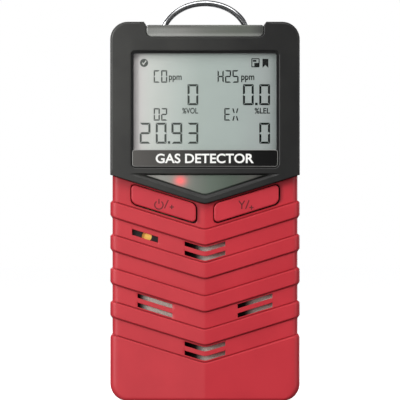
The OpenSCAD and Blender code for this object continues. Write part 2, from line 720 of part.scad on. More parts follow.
// Solid round wire of radius r along a path that never runs along X
module wire_along(path, r, sides = 8) {
    n = len(path);
    function dir(i) = let (d = path[min(i + 1, n - 1)] - path[max(i - 1, 0)]) d / norm(d);
    function ring(i) = let (t = dir(i), u0 = cross(t, [1, 0, 0]), u = u0 / norm(u0), w = cross(t, u))
        [for (k = [0 : sides - 1]) path[i] + r * (u * cos(360 * k / sides) + w * sin(360 * k / sides))];
    polyhedron(
        points = [for (i = [0 : n - 1]) each ring(i)],
        faces = concat(
            [[for (k = [0 : sides - 1]) k]],
            [for (i = [0 : n - 2], k = [0 : sides - 1])
                [i * sides + k, (i + 1) * sides + k,
                 (i + 1) * sides + (k + 1) % sides, i * sides + (k + 1) % sides]],
            [[for (k = [sides - 1 : -1 : 0]) (n - 1) * sides + k]]
        ), convexity = 10);
}

module clip_spring() color([0.5, 0.5, 0.52]) wire_along(spring_path(), spring_wire);

// Steel ring: straight foot through the knuckle, two small bends and a round arch
module bail_ring() color([0.85, 0.86, 0.88]) translate([0, bail_y, bail_z]) {
    foot = bail_r - bail_bend;
    rotate([0, 90, 0]) cylinder(r = wire_r, h = 2 * foot, center = true);
    for (s = [0, 1]) mirror([s, 0, 0])
        translate([foot, 0, bail_bend]) rotate([90, 0, 0]) rotate([0, 0, -90])
            rotate_extrude(angle = 90) translate([bail_bend, 0]) circle(r = wire_r, $fn = 32);
    translate([0, 0, bail_bend]) rotate([90, 0, 0])
        rotate_extrude(angle = 180) translate([bail_r, 0]) circle(r = wire_r, $fn = 32);
}

head_bezel();
front_cover();
rear_cover();
case_seal();
case_screws();
display_window();
name_plate();
lcd_frame();
lcd_panel();
lcd_backlight();
lcd_connector();
alarm_lens();
status_lens();
alarm_leds();
status_led();
main_board();
board_components();
board_screws();
board_connector();
flex_cable();
power_switch();
menu_switch();
power_key();
menu_key();
power_plunger();
menu_plunger();
sensor_carrier();
co_sensor();
h2s_sensor();
oxygen_sensor();
combustible_sensor();
upper_filter();
right_filter();
lower_filter();
left_filter();
upper_gasket();
right_gasket();
lower_gasket();
left_gasket();
sensor_board();
sounder_case();
sounder_diaphragm();
vibration_motor();
motor_cradle();
motor_shaft();
motor_weight();
battery_pack();
battery_pad();
charge_contacts();
clip_base();
clip_screws();
clip_pin();
clip_spring();
clip_lever();
bail_ring();
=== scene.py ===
"""Portable gas detector: display head, chevron front, sheared keys, back shell, clip and ring.

Shapes are worked out in millimetres, X to the right, Y to the back and Z up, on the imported
model's own frame, and turned into metres when a piece is made.
"""
import math

import bmesh
import bpy
import numpy as np
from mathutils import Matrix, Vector
from mathutils.geometry import delaunay_2d_cdt


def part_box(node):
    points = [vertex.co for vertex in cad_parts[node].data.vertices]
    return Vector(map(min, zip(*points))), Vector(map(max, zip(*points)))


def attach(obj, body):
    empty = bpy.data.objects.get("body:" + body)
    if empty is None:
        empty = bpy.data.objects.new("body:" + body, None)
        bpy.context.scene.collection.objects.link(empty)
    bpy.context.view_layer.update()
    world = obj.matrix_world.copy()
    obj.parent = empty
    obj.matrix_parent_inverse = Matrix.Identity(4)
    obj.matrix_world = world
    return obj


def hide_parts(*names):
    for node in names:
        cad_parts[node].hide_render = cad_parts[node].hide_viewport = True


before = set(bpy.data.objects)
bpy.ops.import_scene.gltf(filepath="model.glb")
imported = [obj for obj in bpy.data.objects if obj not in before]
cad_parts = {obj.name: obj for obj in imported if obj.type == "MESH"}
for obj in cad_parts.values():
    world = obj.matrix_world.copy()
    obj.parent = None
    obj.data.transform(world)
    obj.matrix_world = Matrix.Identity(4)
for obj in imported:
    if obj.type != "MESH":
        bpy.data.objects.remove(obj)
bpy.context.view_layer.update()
MM = 0.001


def span(node):
    """Lowest and highest corner of a solid of the frame, in millimetres."""
    lo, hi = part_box(node)
    return np.array(lo) / MM, np.array(hi) / MM


# ---------------------------------------------------------------- sizes
head_lo, head_hi = span("head_bezel")
rear_lo, rear_hi = span("rear_cover")
lens_lo, lens_hi = span("alarm_lens")
tri_lo, tri_hi = span("status_lens")
window_lo, window_hi = span("display_window")
plate_lo, plate_hi = span("name_plate")
panel_lo, panel_hi = span("lcd_panel")
ring_lo, ring_hi = span("bail_ring")

FRONT = head_lo[1]              # crown of the head
SPLIT = head_hi[1]              # where the front covers end
BACK = rear_hi[1]
HALF = head_hi[0]               # half of the case's width
TOP = head_hi[2]
CORNER = 6.0
WALL = 2.0
CROWN = 500.0                   # radius of the head's crown
SLOPE = 0.31                    # rise of every chevron line, per millimetre from the middle
SEAM = 67.4                     # where the seam crosses the middle
LEAN = 4.0                      # degrees by which each facet falls back from the ridge
FACET = math.tan(math.radians(LEAN))
FACET_END = 28.0                # distance from the middle where a facet's own columns end
STEP = 0.75                     # how far a band stands out of the ground
BAND = FRONT + 0.9              # ridge of the bands
GROUND = BAND + STEP            # ridge of the ground between them
KEY = GROUND - 0.9              # ridge of the keys' faces
BODY = HALF - STEP
HEAD_IN = FRONT + 2.4
COVER_IN = FRONT + 4.8
BAND_TOPS = np.array([58.5, 47.08, 35.66, 24.24])
BAND_H = 5.25
BLOCK_TOP = 12.82               # top of the plain block at the foot
BANDS = [(top - BAND_H, top) for top in BAND_TOPS] + [(-50, BLOCK_TOP)]
GRILLES = BAND_TOPS - 8.3       # middle of each row of slots
SLOT_H, SLOT_PITCH, SLOT_HALF = 1.5, 3.15, 6.95
SLOT_ROWS = np.array([-0.5, 0.5]) * SLOT_PITCH
RIM = 0.12                      # width of the rim round a slot
SIDE_SLOT = (11.2, 23.1)
SOUNDER_SLOT = (-25.0, -16.1)
SOUNDER_H = 2.0
KEY_X, KEY_W = 14.2, SEAM - 4.1
KEY_HALF, KEY_H, KEY_R, KEY_GAP = 11.1, 3.3, 1.8, 0.25
COLLAR = 0.3                    # width of the collar round a key's hole
KEY_RECT = (KEY_X - KEY_HALF - KEY_GAP - COLLAR, KEY_X + KEY_HALF + KEY_GAP + COLLAR,
            KEY_W - KEY_H - KEY_GAP - COLLAR, SEAM - COLLAR)
SCREW_X, SCREW_Z = 27.6, (6, 66, TOP - 6)
LENS_TOP = lens_hi[2]
LAND = 0.15                     # width of the flat step that ends a rolled edge


# ---------------------------------------------------------------- surfaces
def grid_faces(rows, cols, wrap=False):
    """Quads of a grid of points numbered row by row. With wrap, the last column meets the first."""
    i, j = np.meshgrid(np.arange(rows - 1), np.arange(cols if wrap else cols - 1), indexing="ij")
    k = (j + 1) % cols
    return np.stack([i * cols + j, i * cols + k, (i + 1) * cols + k, (i + 1) * cols + j], -1).reshape(-1, 4)


def arc(x, z, r, start, end, count=6):
    """Points of an arc: centre plus r (cos a, sin a), for a from start to end in degrees."""
    a = np.radians(np.linspace(start, end, count + 1))
    return np.column_stack([x + r * np.cos(a), z + r * np.sin(a)])


def round_rect(x0, x1, z0, z1, r, count=6):
    """Closed rectangle with round corners, anticlockwise from its right side."""
    return np.concatenate([
        arc(x1 - r, z1 - r, r, 0, 90, count), arc(x0 + r, z1 - r, r, 90, 180, count),
        arc(x0 + r, z0 + r, r, 180, 270, count), arc(x1 - r, z0 + r, r, 270, 360, count)])


def fine(loop, most):
    """Closed loop with points added, so that no side is longer than most."""
    ends = np.roll(loop, -1, 0)
    counts = np.maximum(1, np.ceil(np.linalg.norm(ends - loop, axis=1) / most)).astype(int)
    first = np.repeat(np.arange(len(loop)), counts)
    part = np.concatenate([np.arange(c) / c for c in counts])[:, None]
    return loop[first] * (1 - part) + ends[first] * part


def soft(x, width=0.8):
    """Distance from the middle with a round apex: the root of x squared plus width squared."""
    return np.sqrt(np.square(x) + width ** 2)


def chevron(x, w):
    """Height at x of the chevron line that crosses the middle at w."""
    return w + SLOPE * soft(x)


def mitre(loop):
    """Inward direction at each point of an anticlockwise loop, long enough at a corner to keep
    its distance from both sides: the sum of both sides' normals over one plus their product."""
    ahead = np.roll(loop, -1, 0) - loop
    ahead /= np.linalg.norm(ahead, axis=1, keepdims=True)
    after = np.column_stack([-ahead[:, 1], ahead[:, 0]])
    before = np.roll(after, 1, 0)
    return (after + before) / (1 + (after * before).sum(1, keepdims=True))


def inset(loop, by):
    """Loop moved inwards by a distance, or by one distance for each point."""
    return loop + mitre(loop) * np.reshape(by, (-1, 1))


def at_depth(xz, depth):
    """Points (x, y, z) of a loop: depth is y, a number, one for each point, or a function of x, z."""
    y = depth(xz[:, 0], xz[:, 1]) if callable(depth) else depth
    return np.column_stack([xz[:, 0], np.broadcast_to(y, len(xz)), xz[:, 1]])


def behind(face, by):
    """Depth function that lies by further back than face."""
    return lambda x, z: face(x, z) + by


def level(y):
    """Depth function of a flat face at y."""
    return lambda x, z: y + 0 * x


def rolled(radius, face, count=4, side=1):
    """Steps of a round edge from the wall to the face: inset r (1 - cos a) and depth
    r (1 - sin a) behind the face, for a from 0 to 90 degrees, and one step more on the face."""
    turns = np.linspace(0, math.pi / 2, count + 1)
    steps = [(side * radius * (1 - math.cos(a)), behind(face, radius * (1 - math.sin(a)))) for a in turns]
    return steps + [(side * (radius + LAND), face)]


def crossings(points, loop):
    """True for each point inside a closed loop: an even-odd count of the sides to its right."""
    a, b = loop, np.roll(loop, -1, 0)
    x, z = points[:, :1], points[:, 1:]
    spans = (a[:, 1] > z) != (b[:, 1] > z)
    rise = np.where(b[:, 1] == a[:, 1], 1.0, b[:, 1] - a[:, 1])
    return (spans & (x < (b[:, 0] - a[:, 0]) * (z - a[:, 1]) / rise + a[:, 0])).sum(1) % 2 == 1


def clearance(points, a, b):
    """Distance from each point to the nearest of the sides a to b."""
    d = b - a
    t = ((points[:, None] - a) * d).sum(-1) / np.maximum((d * d).sum(-1), 1e-9)
    near = a + np.clip(t, 0, 1)[..., None] * d
    return np.linalg.norm(points[:, None] - near, axis=-1).min(1)


class Shell:
    """Patches of one closed surface, in millimetres, welded where they meet."""

    def __init__(self):
        self.points, self.faces, self.count = [], [], 0

    def add(self, points, faces):
        points = np.asarray(points, float).reshape(-1, 3)
        self.faces += (np.asarray(faces) + self.count).tolist()
        self.points.append(points)
        self.count += len(points)
        return self

    def hoop(self, loop, width, back, outer, inner):
        """Closed ring on a loop, a width wide: its back edges at one depth, its front edges at two."""
        hole = inset(loop, width)
        return self.ladder([(loop, back), (loop, outer), (hole, inner), (hole, back), (loop, back)])

    def plates(self, loops, y0, y1):
        """Thin plates of simple (x, z) outlines between two depths."""
        for loop in loops:
            loop = np.asarray(loop, float)
            self.ladder([(loop, y0), (loop, y1)])
            self.sheet(loop, depth=y0, step=50).sheet(loop, depth=y1, step=50)
        return self

    def ladder(self, steps):
        """Bands between loops of equal length: each step is (loop, depth)."""
        rows = [at_depth(loop, depth) for loop, depth in steps]
        return self.add(np.concatenate(rows), grid_faces(len(rows), len(rows[0]), True))

    def rings(self, loop, steps):
        """A profile carried round a closed loop: each step is (inset, depth)."""
        return self.ladder([(inset(loop, by), depth) for by, depth in steps])

    def sheet(self, outer, holes=(), depth=0.0, step=2.0):
        """Triangles inside the outer loop and outside the holes, with grid points a step apart
        where no loop is nearer than half a step, all of them at depth(x, z)."""
        loops = [outer, *holes]
        starts = np.cumsum([0] + [len(loop) for loop in loops])
        fixed = np.concatenate(loops)
        ends = np.concatenate([np.roll(np.arange(len(loop)), -1) + s for loop, s in zip(loops, starts)])
        lo, hi = outer.min(0), outer.max(0)
        across = np.linspace(lo[0], hi[0], max(2, int((hi[0] - lo[0]) / step) + 1))
        up = np.linspace(lo[1], hi[1], max(2, int((hi[1] - lo[1]) / step) + 1))
        spots = np.stack(np.meshgrid(across, up), -1).reshape(-1, 2)
        spots = spots[clearance(spots, fixed, fixed[ends]) > step / 2]
        every = np.concatenate([fixed, spots])
        found = delaunay_2d_cdt([Vector(p) for p in every.tolist()],
                                list(enumerate(ends.tolist())), [], 0, 1e-5, False)
        xz, faces = np.array([tuple(p) for p in found[0]]), np.array(found[2])
        middle = xz[faces].mean(1)
        inside = crossings(middle, outer)
        for hole in holes:
            inside &= ~crossings(middle, hole)
        return self.add(at_depth(xz, depth), faces[inside])

    def box(self, lo, hi, edge=0.15):
        """Block between two corners, its edges along Y and its front rolled by edge."""
        loop = fine(round_rect(lo[0], hi[0], lo[2], hi[2], edge + 0.3, 4), 8)
        face = level(lo[1])
        self.rings(loop, [(0, hi[1])] + rolled(edge, face, 3))
        self.sheet(loop, depth=hi[1], step=8)
        return self.sheet(inset(loop, edge + LAND), depth=face, step=8)


def solid_mesh(name, shell, marks=None):
    """Mesh of a shell in metres, welded, with its faces outwards."""
    mesh = bpy.data.meshes.new(name)
    mesh.from_pydata((np.concatenate(shell.points) * MM).tolist(), [], shell.faces)
    for key, values in (marks or {}).items():
        mesh.attributes.new(key, "FLOAT", "POINT").data.foreach_set("value", values)
    work = bmesh.new()
    work.from_mesh(mesh)
    bmesh.ops.remove_doubles(work, verts=work.verts, dist=2e-6)
    bmesh.ops.dissolve_degenerate(work, edges=work.edges, dist=1e-7)
    bmesh.ops.recalc_face_normals(work, faces=work.faces)
    work.to_mesh(mesh)
    work.free()
    mesh.shade_smooth()
    return mesh


def piece(name, shell, finish, body="case", replaces=(), angle=32, marks=None):
    """Piece made of a shell, smooth but for edges over angle."""
    mesh = solid_mesh(name, shell, marks)
    mesh.set_sharp_from_angle(angle=math.radians(angle))
    return place(bpy.data.objects.new(name, mesh), finish, body, replaces)


def place(thing, finish, body="case", replaces=()):
    """Links an object, gives it its finish, hangs it on the empty of the body it rides on and hides the parts it
    stands for.
    """
    if thing.name not in bpy.context.scene.collection.objects:
        bpy.context.scene.collection.objects.link(thing)
    thing.data.materials.clear()
    thing.data.materials.append(finish)
    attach(thing, body)
    if replaces:
        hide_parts(*replaces)
    return thing


# ---------------------------------------------------------------- finishes
def tint(r, g, b):
    """Screen colour from 0 to 255 as a linear one."""
    return tuple(c / 12.92 if c <= 0.04045 else ((c + 0.055) / 1.055) ** 2.4
                 for c in (r / 255, g / 255, b / 255)) + (1.0,)


class Value:
    """Output of a node. Sums on it are written as Python expressions."""

    def __init__(self, finish, socket):
        self.finish, self.socket = finish, socket

    def do(self, operation, *others):
        return self.finish.node("ShaderNodeMath", {"operation": operation},
                                {0: self, **dict(enumerate(others, 1))})

    def __add__(self, other):
        return self.do("ADD", other)

    def __mul__(self, other):
        return self.do("MULTIPLY", other)

    def __sub__(self, other):
        return self.do("SUBTRACT", other)

    def __rsub__(self, other):
        return (self * -1.0) + other

    def __truediv__(self, other):
        return self.do("DIVIDE", other)

    def __pow__(self, other):
        return self.do("POWER", other)

    def __abs__(self):
        return self.do("ABSOLUTE")

    __radd__, __rmul__ = __add__, __mul__

    def between(self, low, high):
        """0 below low, 1 above high, smooth between."""
        return self.finish.node("ShaderNodeMapRange", {"interpolation_type": "SMOOTHSTEP"},
                                {"Value": self, "From Min": low, "From Max": high})


class Finish:
    """Material on one Principled shader. Constant sockets are given by name."""

    def __init__(self, name, **constants):
        self.material = bpy.data.materials.new(name)
        self.material.use_nodes = True
        self.tree = self.material.node_tree
        self.shader = self.tree.nodes["Principled BSDF"]
        self.place = self.node("ShaderNodeTexCoord", out="Object")
        for key, value in constants.items():
            self.shader.inputs[key.replace("_", " ")].default_value = value

    def node(self, kind, settings=None, inputs=None, out=0):
        """A node of any kind: its settings first, then values or links for its sockets."""
        node = self.tree.nodes.new(kind)
        for key, value in (settings or {}).items():
            setattr(node, key, value)
        for key, value in (inputs or {}).items():
            if isinstance(value, Value):
                self.tree.links.new(value.socket, node.inputs[key])
            else:
                node.inputs[key].default_value = value
        return Value(self, node.outputs[out])

    def axes(self):
        """X, Y and Z in millimetres."""
        node = self.node("ShaderNodeSeparateXYZ", inputs={0: self.place}).socket.node
        return [Value(self, node.outputs[i]) * (1 / MM) for i in range(3)]

    def stretched(self, scale):
        """Object coordinates in millimetres, stretched by one factor for each axis."""
        return self.node("ShaderNodeVectorMath", {"operation": "MULTIPLY"},
                         {0: self.place, 1: tuple(s / MM for s in scale)})

    def noise(self, size, detail=3.0, rough=0.55, stretch=(1, 1, 1), distortion=0.0):
        """Noise from 0 to 1 with features of a size in millimetres."""
        return self.node("ShaderNodeTexNoise", inputs={
            "Vector": self.stretched(stretch), "Scale": 1.0 / size, "Detail": detail,
            "Roughness": rough, "Distortion": distortion})

    def mark(self, name):
        """A number kept on the piece's own points."""
        return self.node("ShaderNodeAttribute", {"attribute_name": name}, out="Fac")

    def mix(self, a, b, factor):
        """Colour between a and b by factor."""
        node = self.tree.nodes.new("ShaderNodeMix")
        node.data_type, node.clamp_factor = "RGBA", True
        for key, value in ((0, factor), (6, a), (7, b)):
            if isinstance(value, Value):
                self.tree.links.new(value.socket, node.inputs[key])
            else:
                node.inputs[key].default_value = value
        return Value(self, node.outputs[2])

    def ramp(self, value, stops):
        """Colour ramp over 0 to 1: stops are (position, colour)."""
        out = self.node("ShaderNodeValToRGB", inputs={0: value})
        elements = out.socket.node.color_ramp.elements
        while len(elements) < len(stops):
            elements.new(0.5)
        for element, (at, colour) in zip(elements, stops):
            element.position, element.color = at, colour
        return out

    def bump(self, height, depth):
        """Normal bent by a height from 0 to 1 that stands for a depth in millimetres."""
        return self.node("ShaderNodeBump", inputs={"Height": height, "Distance": depth * MM, "Strength": 1.0},
                         out="Normal")

    def wear(self, **links):
        """Links to the shader's sockets, then the material."""
        for key, value in links.items():
            socket = self.shader.inputs[key.replace("_", " ")]
            if isinstance(value, Value):
                self.tree.links.new(value.socket, socket)
            else:
                socket.default_value = value
        return self.material


def moulded(name, colour, rough=0.45, grain=0.35, depth=0.012, shift=0.12, **constants):
    """Moulded plastic: colour clouds, spark-eroded grain and uneven gloss."""
    f = Finish(name, **constants)
    cloud = f.noise(14, 3)
    fine_grain = f.noise(grain, 3, 0.6)
    darker = tuple(c * (1 - shift) for c in colour[:3]) + (1.0,)
    lighter = tuple(min(1, c * (1 + shift)) for c in colour[:3]) + (1.0,)
    base = f.mix(darker, lighter, cloud.between(0.3, 0.7))
    gloss = rough + (cloud - 0.5) * 0.08 + (fine_grain - 0.5) * 0.12
    return f.wear(Base_Color=base, Roughness=gloss, Normal=f.bump(fine_grain, depth))


def metal(name, colour, rough=0.3, stretch=(1, 1, 1), size=0.3, depth=0.004, **constants):
    """Metal with drawn or brushed lines, smudges and uneven gloss."""
    f = Finish(name, Metallic=1.0, **constants)
    lines = f.noise(size, 4, 0.6, stretch)
    smudge = f.noise(6, 2)
    darker = tuple(c * 0.82 for c in colour[:3]) + (1.0,)
    base = f.mix(darker, colour, lines.between(0.3, 0.7))
    return f.wear(Base_Color=base, Roughness=rough + (lines - 0.5) * 0.15 + (smudge - 0.5) * 0.1,
                  Normal=f.bump(lines, depth))


def make_head_black():
    """Black plastic with a painted sheen: paler towards the left, as if lit from that side, with faint scuffs along
    Z.
    """
    f = Finish("head_black", Specular_IOR_Level=0.45)
    x, _, _ = f.axes()
    grain = f.noise(0.28, 3, 0.6)
    cloud = f.noise(18, 3)
    scuff = f.noise(2.2, 5, 0.7, (1, 1, 4)).between(0.68, 0.9)
    # painted sheen: a lighter black on the left blends across X into a darker one on the right
    left = f.mix(tint(44, 44, 42), tint(54, 54, 51), cloud.between(0.3, 0.7))
    right = f.mix(tint(22, 22, 22), tint(29, 29, 28), cloud.between(0.3, 0.7))
    base = f.mix(left, right, x.between(-40, 40))
    base = f.mix(base, tint(84, 84, 80), scuff * 0.12)
    return f.wear(Base_Color=base, Roughness=0.42 + (cloud - 0.5) * 0.1 + (grain - 0.5) * 0.14,
                  Normal=f.bump(grain, 0.010))


def make_body_red():
    """Red plastic with painted light and shade: the left facet is a lighter red than the right one, as if lit from
    the left.
    Painted shade darkens the notches beside the bands and a strip below the seam, and a painted shadow darkens a
    strip to the right of each key."""
    f = Finish("body_red", Specular_IOR_Level=0.4, Coat_Roughness=0.45)
    grain = f.noise(0.3, 3, 0.6)
    cloud = f.noise(16, 3)
    x, _, z = f.axes()
    # painted light: the left facet gets a lighter red than the right one, as if lit from the left
    left = f.mix(tint(182, 44, 53), tint(189, 47, 56), cloud.between(0.3, 0.7))
    right = f.mix(tint(181, 39, 50), tint(188, 42, 53), cloud.between(0.3, 0.7))
    base = f.mix(left, right, x.between(-0.6, 0.6))
    speck = f.noise(0.9, 4, 0.7).between(0.68, 0.80)
    base = f.mix(base, tint(160, 34, 44), speck * 0.35)
    # painted shade: a strip below the seam is darkened, as under the head's edge
    below = (z - SLOPE * abs(x)).between(SEAM - 3.5, SEAM + 0.5)
    base = f.mix(base, tint(150, 26, 38), below * 0.55)
    # painted shadow: a strip to the right of each key is darkened, as if cast by the raised key
    across = abs(z - SLOPE * abs(x) - KEY_W)
    for side in (-1, 1):
        beside = x - (side * KEY_X + KEY_HALF + KEY_GAP)
        near = (1 - beside.between(0.1, 1.9)) * beside.between(-0.6, -0.4)
        near = near * (1 - across.between(KEY_H - 1.2, KEY_H + 0.6))
        base = f.mix(base, tint(130, 20, 32), near * 0.75)
    # painted shade: the notches beside the bands' steps and the collars round the keys are darkened, less so to the
    # right
    base = f.mix(base, tint(112, 18, 26), f.mark("notch_shade") * (0.62 - 0.2 * x.between(-8, 26)))
    return f.wear(Base_Color=base, Roughness=0.46 + (cloud - 0.5) * 0.1 + (grain - 0.5) * 0.12,
                  Normal=f.bump(grain, 0.010))


def make_alarm_grey():
    """Clouded plastic with painted light: pale on the left and darker to the right, as if lit from the left, with
    faint upright flutes, darker along its top left, and with a painted highlight along its foot."""
    f = Finish("alarm_grey", Specular_IOR_Level=0.5, Coat_Roughness=0.15)
    x, _, z = f.axes()
    # painted light: a ramp from pale on the left to dark on the right, as if lit from the left
    base = f.ramp((x + 20.1) / 40.2, [
        (0.0, tint(126, 127, 123)), (0.12, tint(133, 134, 130)), (0.3, tint(128, 128, 124)),
        (0.5, tint(108, 110, 104)), (0.78, tint(94, 98, 90)), (0.89, tint(92, 95, 89)),
        (0.96, tint(76, 77, 74)), (1.0, tint(56, 58, 54))])
    flutes = f.node("ShaderNodeTexWave", {"bands_direction": "X"}, {"Vector": f.stretched((1, 0, 0)), "Scale": 0.55})
    base = f.mix(base, tint(60, 62, 56), (1 - flutes) * 0.12)
    lip = z.between(LENS_TOP - 1.6, LENS_TOP - 0.4) * (1 - x.between(-10, 8))
    base = f.mix(base, tint(58, 58, 54), lip * 0.6)
    # painted highlight: a paler band along the foot
    base = f.mix(base, tint(206, 207, 203), (1 - z.between(LENS_TOP - 3.6, LENS_TOP - 2.4)) * 0.2)
    return f.wear(Base_Color=base, Roughness=0.3 + f.noise(3, 3) * 0.1, Coat_Weight=0.3,
                  Normal=f.bump(f.noise(0.5, 2), 0.006))


def make_status_green():
    """Grey-green plastic with painted light: paler on the left, as if lit from that side, and the red glow of the
    lamp behind it painted on:
    the glow fades with the distance from the lamp, and a wider and darker halo lies round it."""
    f = Finish("status_green", Specular_IOR_Level=0.5, Coat_Roughness=0.12, Emission_Strength=1.0)
    x, _, z = f.axes()
    spot = ((x + 8.5) ** 2 + ((z - 75.5) * 1.15) ** 2) ** 0.5
    # painted light: a ramp from pale on the left to dark on the right, as if lit from the left
    base = f.ramp((x + 20) / 40, [
        (0.0, tint(124, 123, 118)), (0.12, tint(142, 141, 135)), (0.25, tint(136, 136, 129)),
        (0.44, tint(108, 113, 105)), (0.54, tint(95, 105, 95)), (0.72, tint(80, 90, 80)),
        (0.9, tint(80, 81, 76)), (1.0, tint(54, 55, 51))])
    glow = (1 - spot.between(-0.3, 4.0)) ** 1.8
    halo = (1 - spot.between(0.0, 6.0)) ** 1.6
    # painted glow of the lamp behind: red in the base colour and in the emission
    base = f.mix(base, tint(196, 84, 84), glow)
    light = f.mix((0, 0, 0, 1), tint(104, 16, 20), halo)
    light = f.mix(light, tint(206, 84, 84), glow)
    return f.wear(Base_Color=base, Emission_Color=light, Roughness=0.26 + f.noise(2.5, 3) * 0.1,
                  Coat_Weight=0.3, Normal=f.bump(f.noise(0.6, 2), 0.006))


def make_window_clear():
    """Nearly clear pane with faint smears."""
    f = Finish("window_clear", Specular_IOR_Level=0.5, IOR=1.49)
    smear = f.noise(9, 4, 0.6, (1, 1, 2.5))
    return f.wear(Base_Color=(0.12, 0.135, 0.13, 1), Roughness=0.05 + smear * 0.08,
                  Alpha=0.03 + smear * 0.03)


def make_lcd_glass():
    """Grey-green reflector of the display with painted light: pinkish-pale at its left edge from a painted
    reflection, darker to the right as if lit from the left, with a painted line of light along its top and a painted
    shadow in a dark strip at its right edge."""
    f = Finish("lcd_glass", Specular_IOR_Level=0.25)
    x, _, z = f.axes()
    # painted light: a pinkish reflection at the left edge, then darker to the right
    base = f.ramp((x + 26) / 52, [
        (0.0, tint(198, 188, 190)), (0.05, tint(206, 202, 200)), (0.14, tint(202, 206, 200)),
        (0.33, tint(184, 193, 187)), (0.47, tint(170, 181, 175)), (0.7, tint(166, 177, 172)),
        (0.87, tint(160, 168, 165)), (1.0, tint(144, 152, 149))])
    # painted light along the top, where the pane's recess throws its shadow
    base = f.mix(base, tint(246, 248, 244), z.between(118.6, 119.8) * 0.5)
    # painted shadow along the right edge
    base = f.mix(base, tint(112, 120, 118), x.between(21.5, 25.5) * 0.3)
    reflector = f.noise(0.16, 2, 0.5)
    base = f.mix(base, tint(214, 222, 214), reflector.between(0.45, 0.75) * 0.04)
    return f.wear(Base_Color=base, Roughness=0.5 + (reflector - 0.5) * 0.1, Normal=f.bump(reflector, 0.001))


def make_segment_ink():
    """Dark figures of the display, paler towards the left under a painted sheen."""
    f = Finish("segment_ink", Specular_IOR_Level=0.06)
    x, _, _ = f.axes()
    # painted sheen: pale grey on the left, near black on the right
    base = f.ramp((x + 26) / 52, [
        (0.0, tint(96, 100, 96)), (0.42, tint(62, 68, 64)), (0.7, tint(16, 20, 18)), (1.0, tint(4, 5, 5))])
    return f.wear(Base_Color=base, Roughness=0.55 + f.noise(0.4, 2) * 0.1)


def make_plate_print():
    """Gloss black of the name plate, paler towards the left under a painted sheen."""
    f = Finish("plate_print", Specular_IOR_Level=0.22, Coat_Roughness=0.2)
    x, _, _ = f.axes()
    # painted sheen: a paler black on the left, near black on the right
    base = f.ramp((x + 25) / 50, [
        (0.0, tint(86, 84, 81)), (0.5, tint(50, 49, 47)), (0.85, tint(9, 9, 9)), (1.0, tint(4, 4, 4))])
    speck = f.noise(0.5, 3)
    return f.wear(Base_Color=base, Roughness=0.34 + speck * 0.12, Coat_Weight=0.08, Normal=f.bump(speck, 0.004))


def make_filter_pale(name, middle, light=1.0):
    """Felt disc seen through a pair of slots, with a painted shadow of the slot's left wall on the left of its
    middle; light sets how brightly the rest shows.
    """
    f = Finish(name, Specular_IOR_Level=0.1)
    x, _, _ = f.axes()
    felt = f.noise(0.35, 5, 0.75, (1, 1, 1), 1.5)
    base = f.mix(tint(150, 144, 130), tint(232, 230, 222), felt.between(0.25, 0.75))
    # painted shadow: near black left of the middle, felt to the right past a ragged edge
    lit = (x - middle + (felt - 0.5) * 3).between(-3.4, 0.6) * light
    return f.wear(Base_Color=f.mix(tint(20, 17, 15), base, lit), Roughness=0.9, Normal=f.bump(felt, 0.08))


def make_board_green():
    """Green solder mask over a fine weave."""
    f = Finish("board_green", Specular_IOR_Level=0.5)
    weave = f.noise(0.25, 2)
    base = f.mix(tint(16, 92, 52), tint(30, 122, 70), f.noise(1.6, 2).between(0.5, 0.56))
    return f.wear(Base_Color=base, Roughness=0.3 + weave * 0.15, Normal=f.bump(weave, 0.01))


